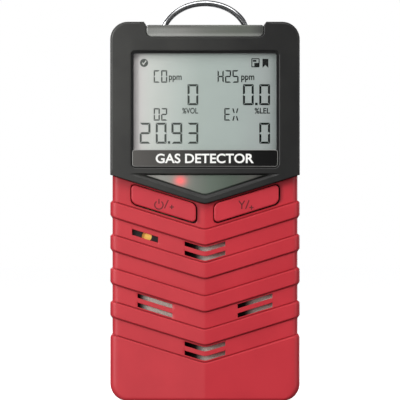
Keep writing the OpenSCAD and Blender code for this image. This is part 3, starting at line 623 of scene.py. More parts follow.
finishes = {
    "head_black": make_head_black(),
    "body_red": make_body_red(),
    "back_black": moulded("back_black", tint(46, 46, 47), 0.5, 0.4, 0.02, Specular_IOR_Level=0.4),
    "seal_rubber": moulded("seal_rubber", tint(26, 26, 26), 0.75, 0.3, 0.01),
    "screw_steel": metal("screw_steel", (0.56, 0.56, 0.58, 1), 0.32, (1, 1, 6)),
    "window_clear": make_window_clear(),
    "name_plate": make_plate_print(),
    "frame_white": moulded("frame_white", tint(214, 212, 206), 0.5),
    "lcd_glass": make_lcd_glass(),
    "light_guide": moulded("light_guide", tint(232, 236, 228), 0.25),
    "elastomer": moulded("elastomer", tint(214, 150, 168), 0.7),
    "lens_grey": make_alarm_grey(),
    "lens_green": make_status_green(),
    "lamp_white": moulded("lamp_white", tint(236, 230, 200), 0.3),
    "lamp_red": moulded("lamp_red", tint(226, 40, 40), 0.3),
    "board_green": make_board_green(),
    "chip_black": moulded("chip_black", tint(34, 34, 36), 0.5),
    "connector_cream": moulded("connector_cream", tint(228, 220, 194), 0.45),
    "flex_amber": moulded("flex_amber", tint(196, 128, 40), 0.3),
    "switch_black": moulded("switch_black", tint(50, 50, 52), 0.5),
    "key_red": moulded("key_red", tint(189, 46, 57), 0.44, 0.3, 0.008, 0.05, Specular_IOR_Level=0.4),
    "plunger_cream": moulded("plunger_cream", tint(210, 200, 180), 0.5),
    "carrier_grey": moulded("carrier_grey", tint(88, 92, 96), 0.5),
    "sensor_white": moulded("sensor_white", tint(226, 226, 220), 0.5),
    "sensor_cream": moulded("sensor_cream", tint(220, 212, 176), 0.5),
    "sensor_blue": moulded("sensor_blue", tint(60, 92, 150), 0.45),
    "sensor_metal": metal("sensor_metal", (0.66, 0.66, 0.68, 1), 0.3, (1, 5, 1)),
    # middle of each filter is where its painted shadow ends; the right filter's lit part is dimmer
    "filter_pale": make_filter_pale("filter_pale", 0),
    "filter_left": make_filter_pale("filter_pale_left", 3.9 - SIDE_SLOT[1]),
    "filter_right": make_filter_pale("filter_pale_right", SIDE_SLOT[0] + 5.6, 0.7),
    "sounder_black": moulded("sounder_black", tint(30, 28, 27), 0.45),
    # painted glow: a faint orange emission makes the brass deep in its slot look lit
    "sounder_brass": moulded("sounder_brass", tint(255, 196, 100), 0.3, 0.6, 0.02, 0.2,
                             Emission_Color=tint(255, 170, 70), Emission_Strength=0.22),
    "motor_steel": metal("motor_steel", (0.64, 0.64, 0.66, 1), 0.28, (0.2, 4, 4)),
    "weight_brass": metal("weight_brass", (0.66, 0.50, 0.28, 1), 0.4),
    "battery_blue": moulded("battery_blue", tint(48, 84, 150), 0.28, 2.0, 0.03),
    "foam_grey": moulded("foam_grey", tint(76, 76, 78), 0.9, 0.5, 0.1),
    "contact_gold": metal("contact_gold", (0.90, 0.68, 0.26, 1), 0.22),
    "clip_steel": metal("clip_steel", (0.60, 0.61, 0.62, 1), 0.34, (0.15, 6, 6), 0.25),
    "spring_steel": metal("spring_steel", (0.42, 0.42, 0.44, 1), 0.3),
    "ring_chrome": metal("ring_chrome", (0.78, 0.79, 0.80, 1), 0.16, (1, 1, 1), 2.5, 0.0001),
}
segment_ink = make_segment_ink()
print_grey = moulded("print_grey", tint(150, 150, 146), 0.5, 0.3, 0.004, 0.03)
pane_black = moulded("pane_black", tint(22, 22, 22), 0.3, 0.4, 0.003, 0.1)
print_white = moulded("print_white", tint(236, 236, 232), 0.5, 0.3, 0.004, 0.03)
print_red = moulded("print_red", tint(100, 12, 20), 0.6, 0.3, 0.004, 0.06)


# ---------------------------------------------------------------- head
def head_face(x, z):
    """Shallow crown: half of x squared over its radius."""
    return FRONT + x ** 2 / (2 * CROWN)


def head_outline():
    """Case corners, sloping shoulders, the notch of the alarm lens and the chevron seam."""
    half, low, r = lens_hi[0] + 0.1, lens_lo[2] - 0.1, 2.0
    right = np.concatenate([
        [[HALF, chevron(HALF, SEAM) + 0.05]],
        arc(HALF - CORNER, TOP - CORNER, CORNER, 0, 90, 10),
        [[half + 0.8, TOP], [half, LENS_TOP]],
        arc(half - r, low + r, r, 0, -90, 6)])
    across = np.linspace(-HALF, HALF, 66)[1:-1]
    seam = np.column_stack([across, chevron(across, SEAM) + 0.05])
    return fine(np.concatenate([right, right[::-1] * [-1, 1], seam]), 2.5)


CORNER_POINTS = 7               # points of each round corner of the status lens


def status_triangle(grow):
    """Triangle flat along the top, grown by a distance. Each corner is a quadratic curve between
    points on its two sides: (1 - t) squared of the first, 2 t (1 - t) of the corner and t squared
    of the second."""
    top, tip = tri_hi[2] + grow * (1 if grow < 0.2 else 0.45), tri_lo[2] - grow * 1.05
    half = (top - tip) / 0.33
    corners = np.array([[half, top], [-half, top], [0, tip]])
    t = np.linspace(0, 1, CORNER_POINTS)[:, None]
    loop = []
    for i, reach in enumerate([0.63 + max(grow, 0) * 1.6] * 2 + [1.6]):
        p, a, b = corners[i], corners[i - 1], corners[(i + 1) % 3]
        u, v = (a - p) / np.linalg.norm(a - p), (b - p) / np.linalg.norm(b - p)
        loop.append((1 - t) ** 2 * (p + u * reach) + 2 * t * (1 - t) * p + t ** 2 * (p + v * reach))
    return np.concatenate(loop)


def spaced(loop, count):
    """Closed loop of the triangle with count steps along each of its three long sides."""
    ends = np.roll(loop, -1, 0)
    counts = np.where(np.arange(len(loop)) % CORNER_POINTS == CORNER_POINTS - 1, count, 1)
    first = np.repeat(np.arange(len(loop)), counts)
    part = np.concatenate([np.arange(c) / c for c in counts])[:, None]
    return loop[first] * (1 - part) + ends[first] * part


def make_head():
    """The outline with a rolled edge, its wall turned back inside, and two openings in its face:
    one for the pane, and one with wide sloping sides for the status lens."""
    outer = head_outline()
    x, z = outer.T
    seam = z < chevron(x, SEAM) + 0.2
    notch = (np.abs(x) < lens_hi[0] + 1) & (z > lens_lo[2] - 1)
    edge = np.where(seam, 0.3, np.where(notch, 0.35, 0.8))
    wall = np.where(seam, 0.5, np.where(notch, 0.8, WALL))
    deep = np.where(seam & (np.abs(x) < HALF - 1e-3), COVER_IN - 0.6, SPLIT)
    shell = Shell().rings(outer, [(wall, HEAD_IN), (wall, deep), (0, deep)] + rolled(edge, head_face, 4))
    front = inset(outer, edge + LAND)
    rim, ledge = 0.4, 0.55
    pane = fine(round_rect(-25.3, 25.3, window_lo[2] - 0.05, window_hi[2] + 0.05, 1.5), 2.5)
    shell.rings(pane, [(ledge, HEAD_IN), (ledge, window_hi[1]), (0, window_hi[1])] + rolled(rim, head_face, 3, -1))
    tri = [spaced(status_triangle(grow), 14) for grow in (0.12, 0.12, 0.5, 1.3, 1.45, 1.65)]
    shell.ladder(zip(tri, (HEAD_IN, tri_lo[1] - 0.02, behind(head_face, 0.75), behind(head_face, 0.12),
                           head_face, head_face)))
    shell.sheet(front, [inset(pane, -rim - LAND), tri[-1]], head_face, 2)
    shell.sheet(inset(outer, wall), [inset(pane, ledge), tri[0]], HEAD_IN, 4)
    piece("head_shell", shell, finishes["head_black"], replaces=["head_bezel"])


def make_alarm_lens():
    """Bar with small round corners above and larger ones below, its face just behind the crown."""
    half, low, r, top_r = lens_hi[0], lens_lo[2], 1.9, 0.75
    loop = fine(np.concatenate([
        arc(half - top_r, LENS_TOP - top_r, top_r, 0, 90, 4), arc(top_r - half, LENS_TOP - top_r, top_r, 90, 180, 4),
        arc(r - half, low + r, r, 180, 270), arc(half - r, low + r, r, 270, 360)]), 2.0)
    face = behind(head_face, 0.06)
    shell = Shell().rings(loop, [(0, SPLIT)] + rolled(0.45, face, 4))
    shell.sheet(inset(loop, 0.6), depth=face, step=1.5).sheet(loop, depth=SPLIT, step=3)
    piece("alarm_light_bar", shell, finishes["lens_grey"], replaces=["alarm_lens"])


def make_status_lens():
    """The round-cornered triangle with a small sloping edge round a flat face."""
    loop, rim, flat, hold = (spaced(status_triangle(grow), 14) for grow in (0.0, -0.08, -0.25, -0.4))
    y = tri_lo[1]
    shell = Shell().ladder([(loop, HEAD_IN), (loop, y + 0.25), (rim, y + 0.08), (flat, y), (hold, y)])
    shell.sheet(hold, depth=y, step=1.5).sheet(loop, depth=HEAD_IN, step=3)
    piece("status_light", shell, finishes["lens_green"], replaces=["status_lens"])


def flat_plate(lo, hi, r, edge):
    """Plate between two corners: a rectangle with round corners, its front edge rolled."""
    loop = fine(round_rect(lo[0], hi[0], lo[2], hi[2], r), 5)
    face = level(lo[1])
    shell = Shell().rings(loop, [(0, hi[1])] + rolled(edge, face, 3))
    return shell.sheet(inset(loop, edge + LAND), depth=face, step=6).sheet(loop, depth=hi[1], step=6)


def make_window():
    """Clear pane in front of the display."""
    piece("display_pane", flat_plate(window_lo, window_hi, 1.45, 0.2), finishes["window_clear"],
          replaces=["display_window"])


def make_name_plate():
    """The plate, a thin pale border that slopes up round it, and a dark border laid on the pane."""
    piece("name_strip", flat_plate(plate_lo, plate_hi, 0.8, 0.12), finishes["name_plate"],
          replaces=["name_plate"])
    y = window_lo[1]
    past = 0.02
    rim = fine(round_rect(plate_lo[0] - past, plate_hi[0] + past, plate_lo[2] - past, plate_hi[2] + past, 0.82), 5)
    border = Shell().hoop(rim, 0.14, y - 0.01, y - 0.2, y - 0.27)
    piece("name_strip_border", border, print_grey)
    rim = fine(round_rect(window_lo[0] + past, window_hi[0] - past, window_lo[2] + past, window_hi[2] - past,
                          1.43), 5)
    mask = Shell().hoop(rim, 0.75, y - 0.005, y - 0.02, y - 0.02)
    piece("pane_border", mask, pane_black)


# bars of each figure, by the usual letters of a seven-bar display
SEGMENTS = {"0": "abcdef", "2": "abged", "3": "abgcd", "9": "abcdfg", "C": "adef", "H": "bcefg",
            "S": "acdfg", "E": "adefg"}


def digit(figure, x, z, w, h, t=0.72, gap=0.09):
    """Bars of a seven-bar figure whose low left corner is at x, z: each bar is a trapezium with
    its ends cut at 45 degrees."""
    m = z + h / 2
    top = z + h
    bars = {
        "a": [[x + gap, top], [x + w - gap, top], [x + w - t - gap, top - t], [x + t + gap, top - t]],
        "d": [[x + t + gap, z + t], [x + w - t - gap, z + t], [x + w - gap, z], [x + gap, z]],
        "f": [[x, top - gap], [x + t, top - t - gap], [x + t, m + t / 2 + gap], [x, m + gap]],
        "b": [[x + w, top - gap], [x + w, m + gap], [x + w - t, m + t / 2 + gap], [x + w - t, top - t - gap]],
        "e": [[x, m - gap], [x + t, m - t / 2 - gap], [x + t, z + t + gap], [x, z + gap]],
        "c": [[x + w, m - gap], [x + w, z + gap], [x + w - t, z + t + gap], [x + w - t, m - t / 2 - gap]],
        "g": [[x + gap * 2, m], [x + t, m + t / 2], [x + w - t, m + t / 2], [x + w - gap * 2, m],
              [x + w - t, m - t / 2], [x + t, m - t / 2]],
    }
    return [np.array(bars[key])[::-1] for key in SEGMENTS[figure]]


def block(x0, x1, z0, z1):
    """Corners of a rectangle, anticlockwise from its low left one."""
    return np.array([[x0, z0], [x1, z0], [x1, z1], [x0, z1]])


def lettering(name, text, x, z, width, height, y, finish, bold):
    """Letters as solids 0.03 mm thick: scaled to a width and height, standing on z with their left
    side at x. Bold moves their outlines outwards."""
    curve = bpy.data.curves.new(name, "FONT")
    curve.body, curve.extrude = text, 0.5
    curve.resolution_u, curve.offset = 6, bold
    holder = bpy.data.objects.new(name, curve)
    bpy.context.scene.collection.objects.link(holder)
    bpy.context.view_layer.update()
    mesh = bpy.data.meshes.new_from_object(holder.evaluated_get(bpy.context.evaluated_depsgraph_get()))
    bpy.data.objects.remove(holder)
    co = np.empty(len(mesh.vertices) * 3)
    mesh.vertices.foreach_get("co", co)
    co = co.reshape(-1, 3)
    lo, hi = co.min(0), co.max(0)
    unit = (co - lo) / (hi - lo)
    out = np.column_stack([x + unit[:, 0] * width, y + (0.5 - unit[:, 2]) * 0.03, z + unit[:, 1] * height])
    mesh.vertices.foreach_set("co", (out * MM).ravel())
    mesh.update()
    work = bmesh.new()
    work.from_mesh(mesh)
    bmesh.ops.remove_doubles(work, verts=work.verts, dist=1e-7)
    bmesh.ops.recalc_face_normals(work, faces=work.faces)
    work.to_mesh(mesh)
    work.free()
    return place(bpy.data.objects.new(name, mesh), finish)


def make_display():
    """The display's cell, and on it the readings, gas names, signs and units as thin plates."""
    piece("display_cell", Shell().box(panel_lo, panel_hi), finishes["lcd_glass"],
          replaces=["lcd_panel"])
    y = panel_lo[1] - 0.03
    thick = 0.02
    first_row, second_row, point = 101.4, 88.2, 0.85
    bars = []
    for figure, x, z in (("0", -6.0, first_row), ("0", 13.0, first_row), ("0", 18.6, first_row),
                         ("2", -22.4, second_row), ("0", -16.9, second_row), ("9", -11.5, second_row),
                         ("3", -6.0, second_row), ("0", 18.6, second_row)):
        bars += digit(figure, x, z, 3.7, 7.2)
    for x, z in ((17.6, first_row), (-12.35, second_row)):
        bars.append(block(x - point / 2, x + point / 2, z, z + point))
    for text, x, z in (("C0", -17.6, 109.1), ("H2S", 4.3, 109.1), ("02", -17.6, 96.1), ("E", 6.6, 96.1)):
        for i, figure in enumerate(text):
            bars += digit(figure, x + 2.55 * i, z, 2.1, 4.3, 0.46, 0.06)
    # four strokes of a letter X
    for wide, narrow in ((100.3, 98.7), (96.1, 97.7)):
        for side in (-1, 1):
            stroke = np.array([[1.05, wide], [0.6, wide], [0.2, narrow], [0.6, narrow]])
            bars.append(stroke * [side, 1] + [10.4, 0])
    # the store sign's two dark blocks and its frame, a flag, and a disc with a tick left out
    bars += [block(16.9, 18.5, 114.5, 115.9), block(16.4, 17.6, 116.3, 116.9),
             np.array([[19.7, 114.2], [20.7, 115.2], [21.7, 114.2], [21.7, 117.3], [19.7, 117.3]])]
    ink = Shell().plates(bars, y, y + thick)
    ink.hoop(round_rect(15.9, 18.7, 114.4, 117.5, 0.25, 3), 0.32, y + thick, y, y)
    disc = arc(-20.9, 115.9, 1.4, 0, 345, 23)
    tick = np.array([[-21.65, 115.85], [-21.05, 115.1], [-20.05, 116.55],
                     [-20.35, 116.8], [-21.05, 115.7], [-21.35, 116.1]])
    for loop in (disc, tick):
        ink.ladder([(loop, y), (loop, y + thick)])
    ink.sheet(disc, [tick], y, 50).sheet(disc, [tick], y + thick, 50)
    piece("display_figures", ink, segment_ink)
    for i, (text, x, z, wide, high) in enumerate((
            ("ppm", -12.4, 109.3, 4.4, 2.3), ("ppm", 12.4, 109.3, 4.5, 2.3),
            ("%VOL", -7.8, 98.5, 5.4, 2.0), ("%LEL", 17.0, 98.5, 5.3, 2.0))):
        lettering("display_letters_%d" % (i + 1), text, x, z, wide, high, y, segment_ink, 0.02)
    lettering("name_letters", "GAS DETECTOR", -16.9, plate_lo[2] + 1.1, 33.6, 3.3, plate_lo[1] - 0.015,
              print_white, 0.022)


# ---------------------------------------------------------------- front cover
# distance into a band from its edge, and how far the surface has risen there
BAND_PROFILE = np.array([
    [-0.50, 0], [-0.42, -0.02], [-0.35, -0.12], [-0.28, -0.24], [-0.12, -0.26], [-0.05, -0.16],
    [0.00, 0.32], [0.05, 0.66], [0.12, 0.86], [0.22, 0.97], [0.34, 1.0]])


def from_edges(w):
    """For each band, the distance from w to its nearer edge, positive inside the band."""
    return [np.minimum(w - low, high - w) for low, high in BANDS]


def band_height(w):
    """How far the surface stands up towards the band's face, 1 on a band and 0 on the ground. A
    narrow notch runs along each step, and the edge of the band is rolled."""
    out = np.zeros_like(w)
    for s in from_edges(w):
        out = np.where(s > BAND_PROFILE[0, 0], np.interp(s, *BAND_PROFILE.T), out)
    return out


def band_height_side(w):
    """The same step as a plain slope 0.9 mm long, for the sides of the case."""
    return np.clip((np.max(from_edges(w), axis=0) + 0.45) / 0.9, 0, 1)


def notch_shade_mark(w):
    """Mask of painted shade: 1 in the notches beside the steps, fading out."""
    return np.max([np.interp(s, [-0.48, -0.36, -0.02, 0.10], [0, 1, 1, 0]) for s in from_edges(w)], axis=0)


def filled(values, most=1.6, step=1.3):
    """Values in order, with more of them between any two that are further apart than most."""
    values = np.unique(np.round(values, 4))
    extra = [np.linspace(a, b, int((b - a) / step) + 2)[1:-1]
             for a, b in zip(values, values[1:]) if b - a > most]
    return np.unique(np.round(np.concatenate([values, *extra]), 4))


def cover_rows():
    """Chevron heights of the grid's rows, close together at steps, slots, keys and the top lip."""
    step = np.sort(np.append(BAND_PROFILE[:, 0], [-0.20, 0.6]))
    rows = [BLOCK_TOP - step[step <= 0], KEY_RECT[2:], SEAM - np.array([0.24, 0.17, 0.1, 0.06, 0.05])]
    for low, high in BANDS[:-1]:
        rows += [high - step, low + step]
    slots = [(z, SLOT_H / 2) for i in (0, 2, 3) for z in GRILLES[i] + SLOT_ROWS]
    for z, half in slots + [(GRILLES[0], SOUNDER_H / 2)]:
        rows.append([z - half - RIM, z - half, z + half, z + half + RIM])
    return filled(np.concatenate(rows))


def cover_columns():
    """Distances from the middle of the grid's columns on one facet."""
    cols = [0, 0.25, 0.5, 0.8, 1.2, 1.8, *KEY_RECT[:2], FACET_END]
    for edge in (SLOT_HALF, *SIDE_SLOT, -SOUNDER_SLOT[0], -SOUNDER_SLOT[1]):
        cols += [edge - RIM, edge, edge + RIM]
    return filled(cols)


def slot_rects():
    """Rectangles (x0, x1, w0, w1) of all slots: two pairs on the ridge, a pair on each side, and
    the sounder's."""
    middle, left = (-SLOT_HALF, SLOT_HALF), (-SIDE_SLOT[1], -SIDE_SLOT[0])
    rects = [(*SOUNDER_SLOT, GRILLES[0] - SOUNDER_H / 2, GRILLES[0] + SOUNDER_H / 2)]
    for i, reach in ((0, middle), (3, middle), (2, SIDE_SLOT), (2, left)):
        rects += [(*reach, z - SLOT_H / 2, z + SLOT_H / 2) for z in GRILLES[i] + SLOT_ROWS]
    return rects


def facet_depth(x, ridge):
    """Two planes that fall back from a soft ridge."""
    return ridge + FACET * soft(x, 0.4)


def cover_section(kinds, value, half, ridge, r, y_end):
    """Point (x, y) of the cover's section. Columns of kind 0 lie on the facet at a fixed x, kind
    1 between its end and the turn, kind 2 on the turn, kind 3 on the side wall back to the split."""
    lean = math.radians(LEAN)
    cx = half - r
    cy = ridge + FACET * cx + r / math.cos(lean)
    tx = cx + r * math.sin(lean)
    last = np.minimum(FACET_END, tx - 1)
    x = np.where(kinds == 0, value * last / FACET_END, last + (tx - last) * value)
    turn = (LEAN - 90) * (1 - value)
    x = np.where(kinds == 2, cx + r * np.cos(np.radians(turn)), x)
    x = np.where(kinds == 3, half, x)
    y = facet_depth(x, ridge)
    y = np.where(kinds == 2, cy + r * np.sin(np.radians(turn)), y)
    y = np.where(kinds == 3, cy + (y_end - cy) * value, y)
    return x, y


def key_collar(shell, s, columns, heights):
    """Collar round the key on side s, from the grid's rectangle to the round outline of its hole:
    points on straight lines from each border point to the outline's nearest, sinking near it.
    Returns the mark of painted shade of each point, darkest next to the key's gap."""
    near = 1e-3
    cols = np.sort(columns[(s * columns > KEY_RECT[0] - near) & (s * columns < KEY_RECT[1] + near)])
    rows = heights[(heights > KEY_RECT[2] - near) & (heights < KEY_RECT[3] + near)]
    inner = rows[1:-1]
    border = np.concatenate([
        np.column_stack([cols, np.full(len(cols), rows[0])]),
        np.column_stack([np.full(len(inner), cols[-1]), inner]),
        np.column_stack([cols[::-1], np.full(len(cols), rows[-1])]),
        np.column_stack([np.full(len(inner), cols[0]), inner[::-1]])])
    # the hole is a little larger than the key's gap on the right and below
    centre = np.array([s * KEY_X + 0.1, KEY_W - 0.1])
    half = np.array([KEY_HALF + KEY_GAP + 0.1, KEY_H + KEY_GAP + 0.1])
    r = KEY_R + KEY_GAP
    local = border - centre
    core = np.clip(local, r - half, half - r)
    out = local - core
    target = centre + core + out / np.maximum(np.linalg.norm(out, axis=1, keepdims=True), 1e-9) * r
    loops = []
    for part, sink in ((0.0, 0.0), (0.5, 0.0), (0.75, 0.02), (0.92, 0.09), (1.0, 0.2)):
        x, w = (border * (1 - part) + target * part).T
        loops.append(np.column_stack([x, facet_depth(x, GROUND) + sink, chevron(x, w)]))
    shell.add(np.concatenate(loops), grid_faces(len(loops), len(border), True))
    # mark of painted shade: none on the outer loops, darkest on the loop next to the key's gap
    return np.repeat([0, 0, 0.2, 0.8, 1.0], len(border))


def make_cover():
    """Grid of chevron heights by places across the section. The section's width and ridge change
    with the bands' height. Below the block's top the rows run level into the foot, where the
    corners are round. Grid faces in the slots and keys are left out."""
    facet = cover_columns()
    turn_steps, wall_steps = 6, 7
    kinds = np.concatenate([np.zeros(len(facet)), [1, 1], np.full(turn_steps, 2), np.full(wall_steps, 3)])
    value = np.concatenate([facet, [0.5, 1.0], np.linspace(0, 1, turn_steps + 1)[1:],
                            np.linspace(0, 1, wall_steps + 1)[1:]])
    side = np.sign(np.arange(1 - len(kinds), len(kinds)))
    kinds = np.concatenate([kinds[::-1], kinds[1:]])
    value = np.concatenate([value[::-1], value[1:]])
    # rows of the block as parts of its height: round corners, then even steps, then its top edge
    full = BLOCK_TOP + SLOPE * HALF
    low = (CORNER - CORNER * np.cos(np.radians(np.arange(0, 91, 7.5)))) / full
    low = np.concatenate([low, np.linspace(low[-1], (BLOCK_TOP - 0.6) / BLOCK_TOP, 9)[1:],
                          (BLOCK_TOP - np.array([0.34, 0.22, 0.12, 0.05, 0.0])) / BLOCK_TOP])
    low = np.unique(np.round(low, 6))
    rows = cover_rows()
    rows = rows[rows > BLOCK_TOP + 1e-4]
    w = np.concatenate([low * BLOCK_TOP, rows])[:, None]
    part = np.concatenate([low, np.ones(len(rows))])[:, None]
    nearness = np.where(kinds == 3, 1.0, np.where(kinds == 2, value, 0.0))[None]
    rise = band_height(w) * (1 - nearness) + band_height_side(w) * nearness
    up = np.maximum(CORNER - part * full, 0)
    shrink = CORNER - np.sqrt(np.maximum(CORNER ** 2 - up ** 2, 0))
    x, y = cover_section(kinds[None], value[None], BODY + STEP * rise - shrink, GROUND - STEP * rise,
                         2.2 + 0.2 * rise, SPLIT)
    x = x * side[None]
    z = np.where(part < 1, part * (BLOCK_TOP + SLOPE * soft(x)), chevron(x, w))
    # the foot's front edge and the lip under the seam are rolled
    foot, lip = 1.2, 0.25
    below = np.maximum(foot - z, 0)
    y = y + (foot - np.sqrt(np.maximum(foot ** 2 - below ** 2, 0))) * (kinds[None] < 3) * (1 - nearness)
    above = np.clip(lip - (SEAM - 0.05 - w), 0, lip)
    y = y + (lip - np.sqrt(np.maximum(lip ** 2 - above ** 2, 0))) * (kinds[None] < 3)
    # rims of the slots lie a little deeper than the ground
    slots = slot_rects()
    height = np.broadcast_to(w, x.shape)
    for x0, x1, w0, w1 in slots:
        on = (x > x0 - 1e-3) & (x < x1 + 1e-3) & (height > w0 - 1e-3) & (height < w1 + 1e-3)
        y = np.where(on & (kinds[None] == 0), y + 0.13, y)
    # mask of painted shade in the notches beside the steps, none on the sides
    mark = notch_shade_mark(w) * (1 - nearness) + 0 * x
    quads = grid_faces(*x.shape)
    mid_x, mid_w = x.ravel()[quads].mean(1), height.ravel()[quads].mean(1)
    front = (kinds[quads % x.shape[1]] == 0).all(1)
    keep = np.ones(len(quads), bool)
    key_x0, key_x1, *key_w = KEY_RECT
    for x0, x1, w0, w1 in slots + [(key_x0, key_x1, *key_w), (-key_x1, -key_x0, *key_w)]:
        keep &= ~(front & (mid_x > x0) & (mid_x < x1) & (mid_w > w0) & (mid_w < w1))
    shell = Shell().add(np.stack([x, y, z], -1), quads[keep])
    marks = [mark.ravel()]
    for s in (-1, 1):
        marks.append(key_collar(shell, s, (value * side)[kinds == 0], w[:, 0]))
    # base: straight back from the front edge's foot to the split, in step with the side walls
    wall_y = y[0][(kinds == 3) & (side > 0)]
    turn_y = y[0][(kinds == 2) & (side > 0)][-1]
    parts = np.append(1.0, np.sort((SPLIT - wall_y) / (SPLIT - turn_y))[::-1])[:, None]
    base_x = x[0][kinds < 3] + 0 * parts
    base_y = SPLIT + (y[0][kinds < 3] - SPLIT) * parts
    shell.add(np.stack([base_x, base_y, 0 * base_x], -1), grid_faces(*base_x.shape))
    marks.append(np.zeros(base_x.size))
    close_inwards(shell, marks)


def pressed(value, most):
    """The value up to a limit, and a twentieth of what goes beyond it."""
    return np.minimum(value, most) + 0.05 * np.maximum(value - most, 0)


def close_inwards(shell, marks):
    """Welds the outer skin, copies it inwards onto the cavity's walls and joins both along every
    open edge."""
    points = np.concatenate(shell.points)
    values = np.concatenate(marks)
    _, first, where = np.unique(np.round(points, 3), axis=0, return_index=True, return_inverse=True)
    where = where.ravel()
    points, values = points[first], values[first]
    faces = where[np.array(shell.faces)]
    edges = np.concatenate([faces[:, [i, (i + 1) % 4]] for i in range(4)])
    edges = edges[edges[:, 0] != edges[:, 1]]
    single, count = np.unique(np.sort(edges, 1), axis=0, return_counts=True)
    open_edges = single[count == 1]
    x, y, z = points.T
    inner_z = -pressed(-z, -WALL)
    turn = np.clip(CORNER - inner_z, 0, CORNER - WALL)
    room = BODY - WALL - ((CORNER - WALL) - np.sqrt(np.maximum((CORNER - WALL) ** 2 - turn ** 2, 0)))
    inner = np.column_stack([np.sign(x) * pressed(np.abs(x), room), -pressed(-y, -COVER_IN), inner_z])
    n = len(points)
    skin = Shell()
    skin.add(np.concatenate([points, inner]), np.concatenate([
        faces, faces[:, ::-1] + n, np.column_stack([open_edges, open_edges[:, ::-1] + n])]))
    skin.faces = [tuple(dict.fromkeys(f)) for f in skin.faces]
    skin.faces = [f for f in skin.faces if len(f) > 2]
    # the mask of painted shade goes on the outer skin only
    piece("front_shell", skin, finishes["body_red"], replaces=["front_cover"],
          marks={"notch_shade": np.concatenate([values, values * 0])}, angle=38)


# ---------------------------------------------------------------- keys
def key_face(x, z):
    """Face of the keys, in two planes like the facets behind them."""
    return facet_depth(x, KEY)


def sheared(loop, s):
    """Outline about a key's middle, moved to the key on side s and sloped like the chevrons."""
    px = s * KEY_X + loop[:, 0]
    return np.column_stack([px, chevron(px, KEY_W + loop[:, 1])])


def make_key(s, name, body, node):
    """Key on side s: the sheared outline with its front edge rolled."""
    loop = sheared(fine(round_rect(-KEY_HALF, KEY_HALF, -KEY_H, KEY_H, KEY_R), 1.6), s)
    edge = 0.45
    back = span(node)[1][1]
    shell = Shell().rings(loop, [(0, back)] + rolled(edge, key_face, 5))
    shell.sheet(inset(loop, edge + LAND), depth=key_face, step=1.6).sheet(loop, depth=back, step=4)
    piece(name, shell, finishes["key_red"], body, [node])


def bar(x0, z0, x1, z1, t=0.42):
    """Corners of a straight stroke from one point to another, t wide."""
    a, b = np.array([x0, z0]), np.array([x1, z1])
    u = (b - a) / np.linalg.norm(b - a)
    v = np.array([-u[1], u[0]]) * t / 2
    return np.array([a - v, b - v, b + v, a + v])


def broken_ring(x, z, r, t, start, end):
    """Outline of an arc r to its outer edge and t wide."""
    return np.concatenate([arc(x, z, r, start, end, 28), arc(x, z, r - t, end, start, 28)])


def plus(x, z):
    """A small plus in three strokes."""
    return [bar(x - 0.75, z, x + 0.75, z, 0.4), bar(x, z - 0.75, x, z - 0.2, 0.4),
            bar(x, z + 0.2, x, z + 0.75, 0.4)]


def make_signs():
    """Signs printed on the keys: a power sign, and a fork, each with a slash and a plus."""
    signs = {
        "power": [broken_ring(-15.8, 67.2, 1.65, 0.42, 125, 415), bar(-15.8, 67.6, -15.8, 69.3),
                  bar(-13.9, 66.0, -12.6, 68.9, 0.4), *plus(-11.4, 66.5)],
        "menu": [bar(11.6, 68.7, 12.6, 67.2), bar(13.6, 68.7, 12.6, 67.2), bar(12.6, 65.8, 12.6, 67.2),
                 bar(13.9, 65.8, 15.1, 68.8, 0.4), *plus(15.9, 66.3)],
    }
    for key, loops in signs.items():
        shell = Shell().plates(loops, behind(key_face, 0.01), behind(key_face, -0.015))
        piece(key + "_sign", shell, print_red, key + "_button")


# ---------------------------------------------------------------- ring
def make_ring():
    """Round wire carried along a closed path: a straight foot, two bends, two straight sides and
    half an ellipse. Each point is the path's, plus the wire's radius times the cosine of the angle
    round the wire along the path's outward normal, and times its sine along Y."""
    lo, hi = ring_lo, ring_hi
    wire = (hi[1] - lo[1]) / 2
    y = (hi[1] + lo[1]) / 2
    arch = (hi[0] - lo[0]) / 2 - wire
    foot_z = lo[2] + wire
    bend = 2.7
    foot = arch - bend
    rise = arch * 0.8
    straight = hi[2] - wire - rise
    right = np.concatenate([
        np.column_stack([np.linspace(0, foot, 12), np.full(12, foot_z)])[:-1],
        arc(foot, foot_z + bend, bend, -90, 0, 10),
        np.column_stack([np.full(6, arch), np.linspace(foot_z + bend, straight, 6)])[1:-1],
        arc(0, 0, arch, 0, 90, 36) * [1, rise / arch] + [0, straight]])
    path = np.concatenate([right, right[1:-1][::-1] * [-1, 1]])
    ahead = np.roll(path, -1, 0) - np.roll(path, 1, 0)
    ahead /= np.linalg.norm(ahead, axis=1, keepdims=True)
    out = np.column_stack([ahead[:, 1], -ahead[:, 0]])
    a = np.linspace(0, 2 * math.pi, 25)[:-1]
    x = path[:, :1] + out[:, :1] * wire * np.cos(a)
    z = path[:, 1:] + out[:, 1:] * wire * np.cos(a)
    points = np.stack([x, y + wire * np.sin(a) + 0 * x, z], -1)
    # the first row is repeated, so that the grid meets itself along the path as well
    rows, cols = x.shape
    quads = grid_faces(rows + 1, cols, True) % (rows * cols)
    piece("hanging_ring", Shell().add(points, quads), finishes["ring_chrome"],
          "ring", ["bail_ring"], 60)


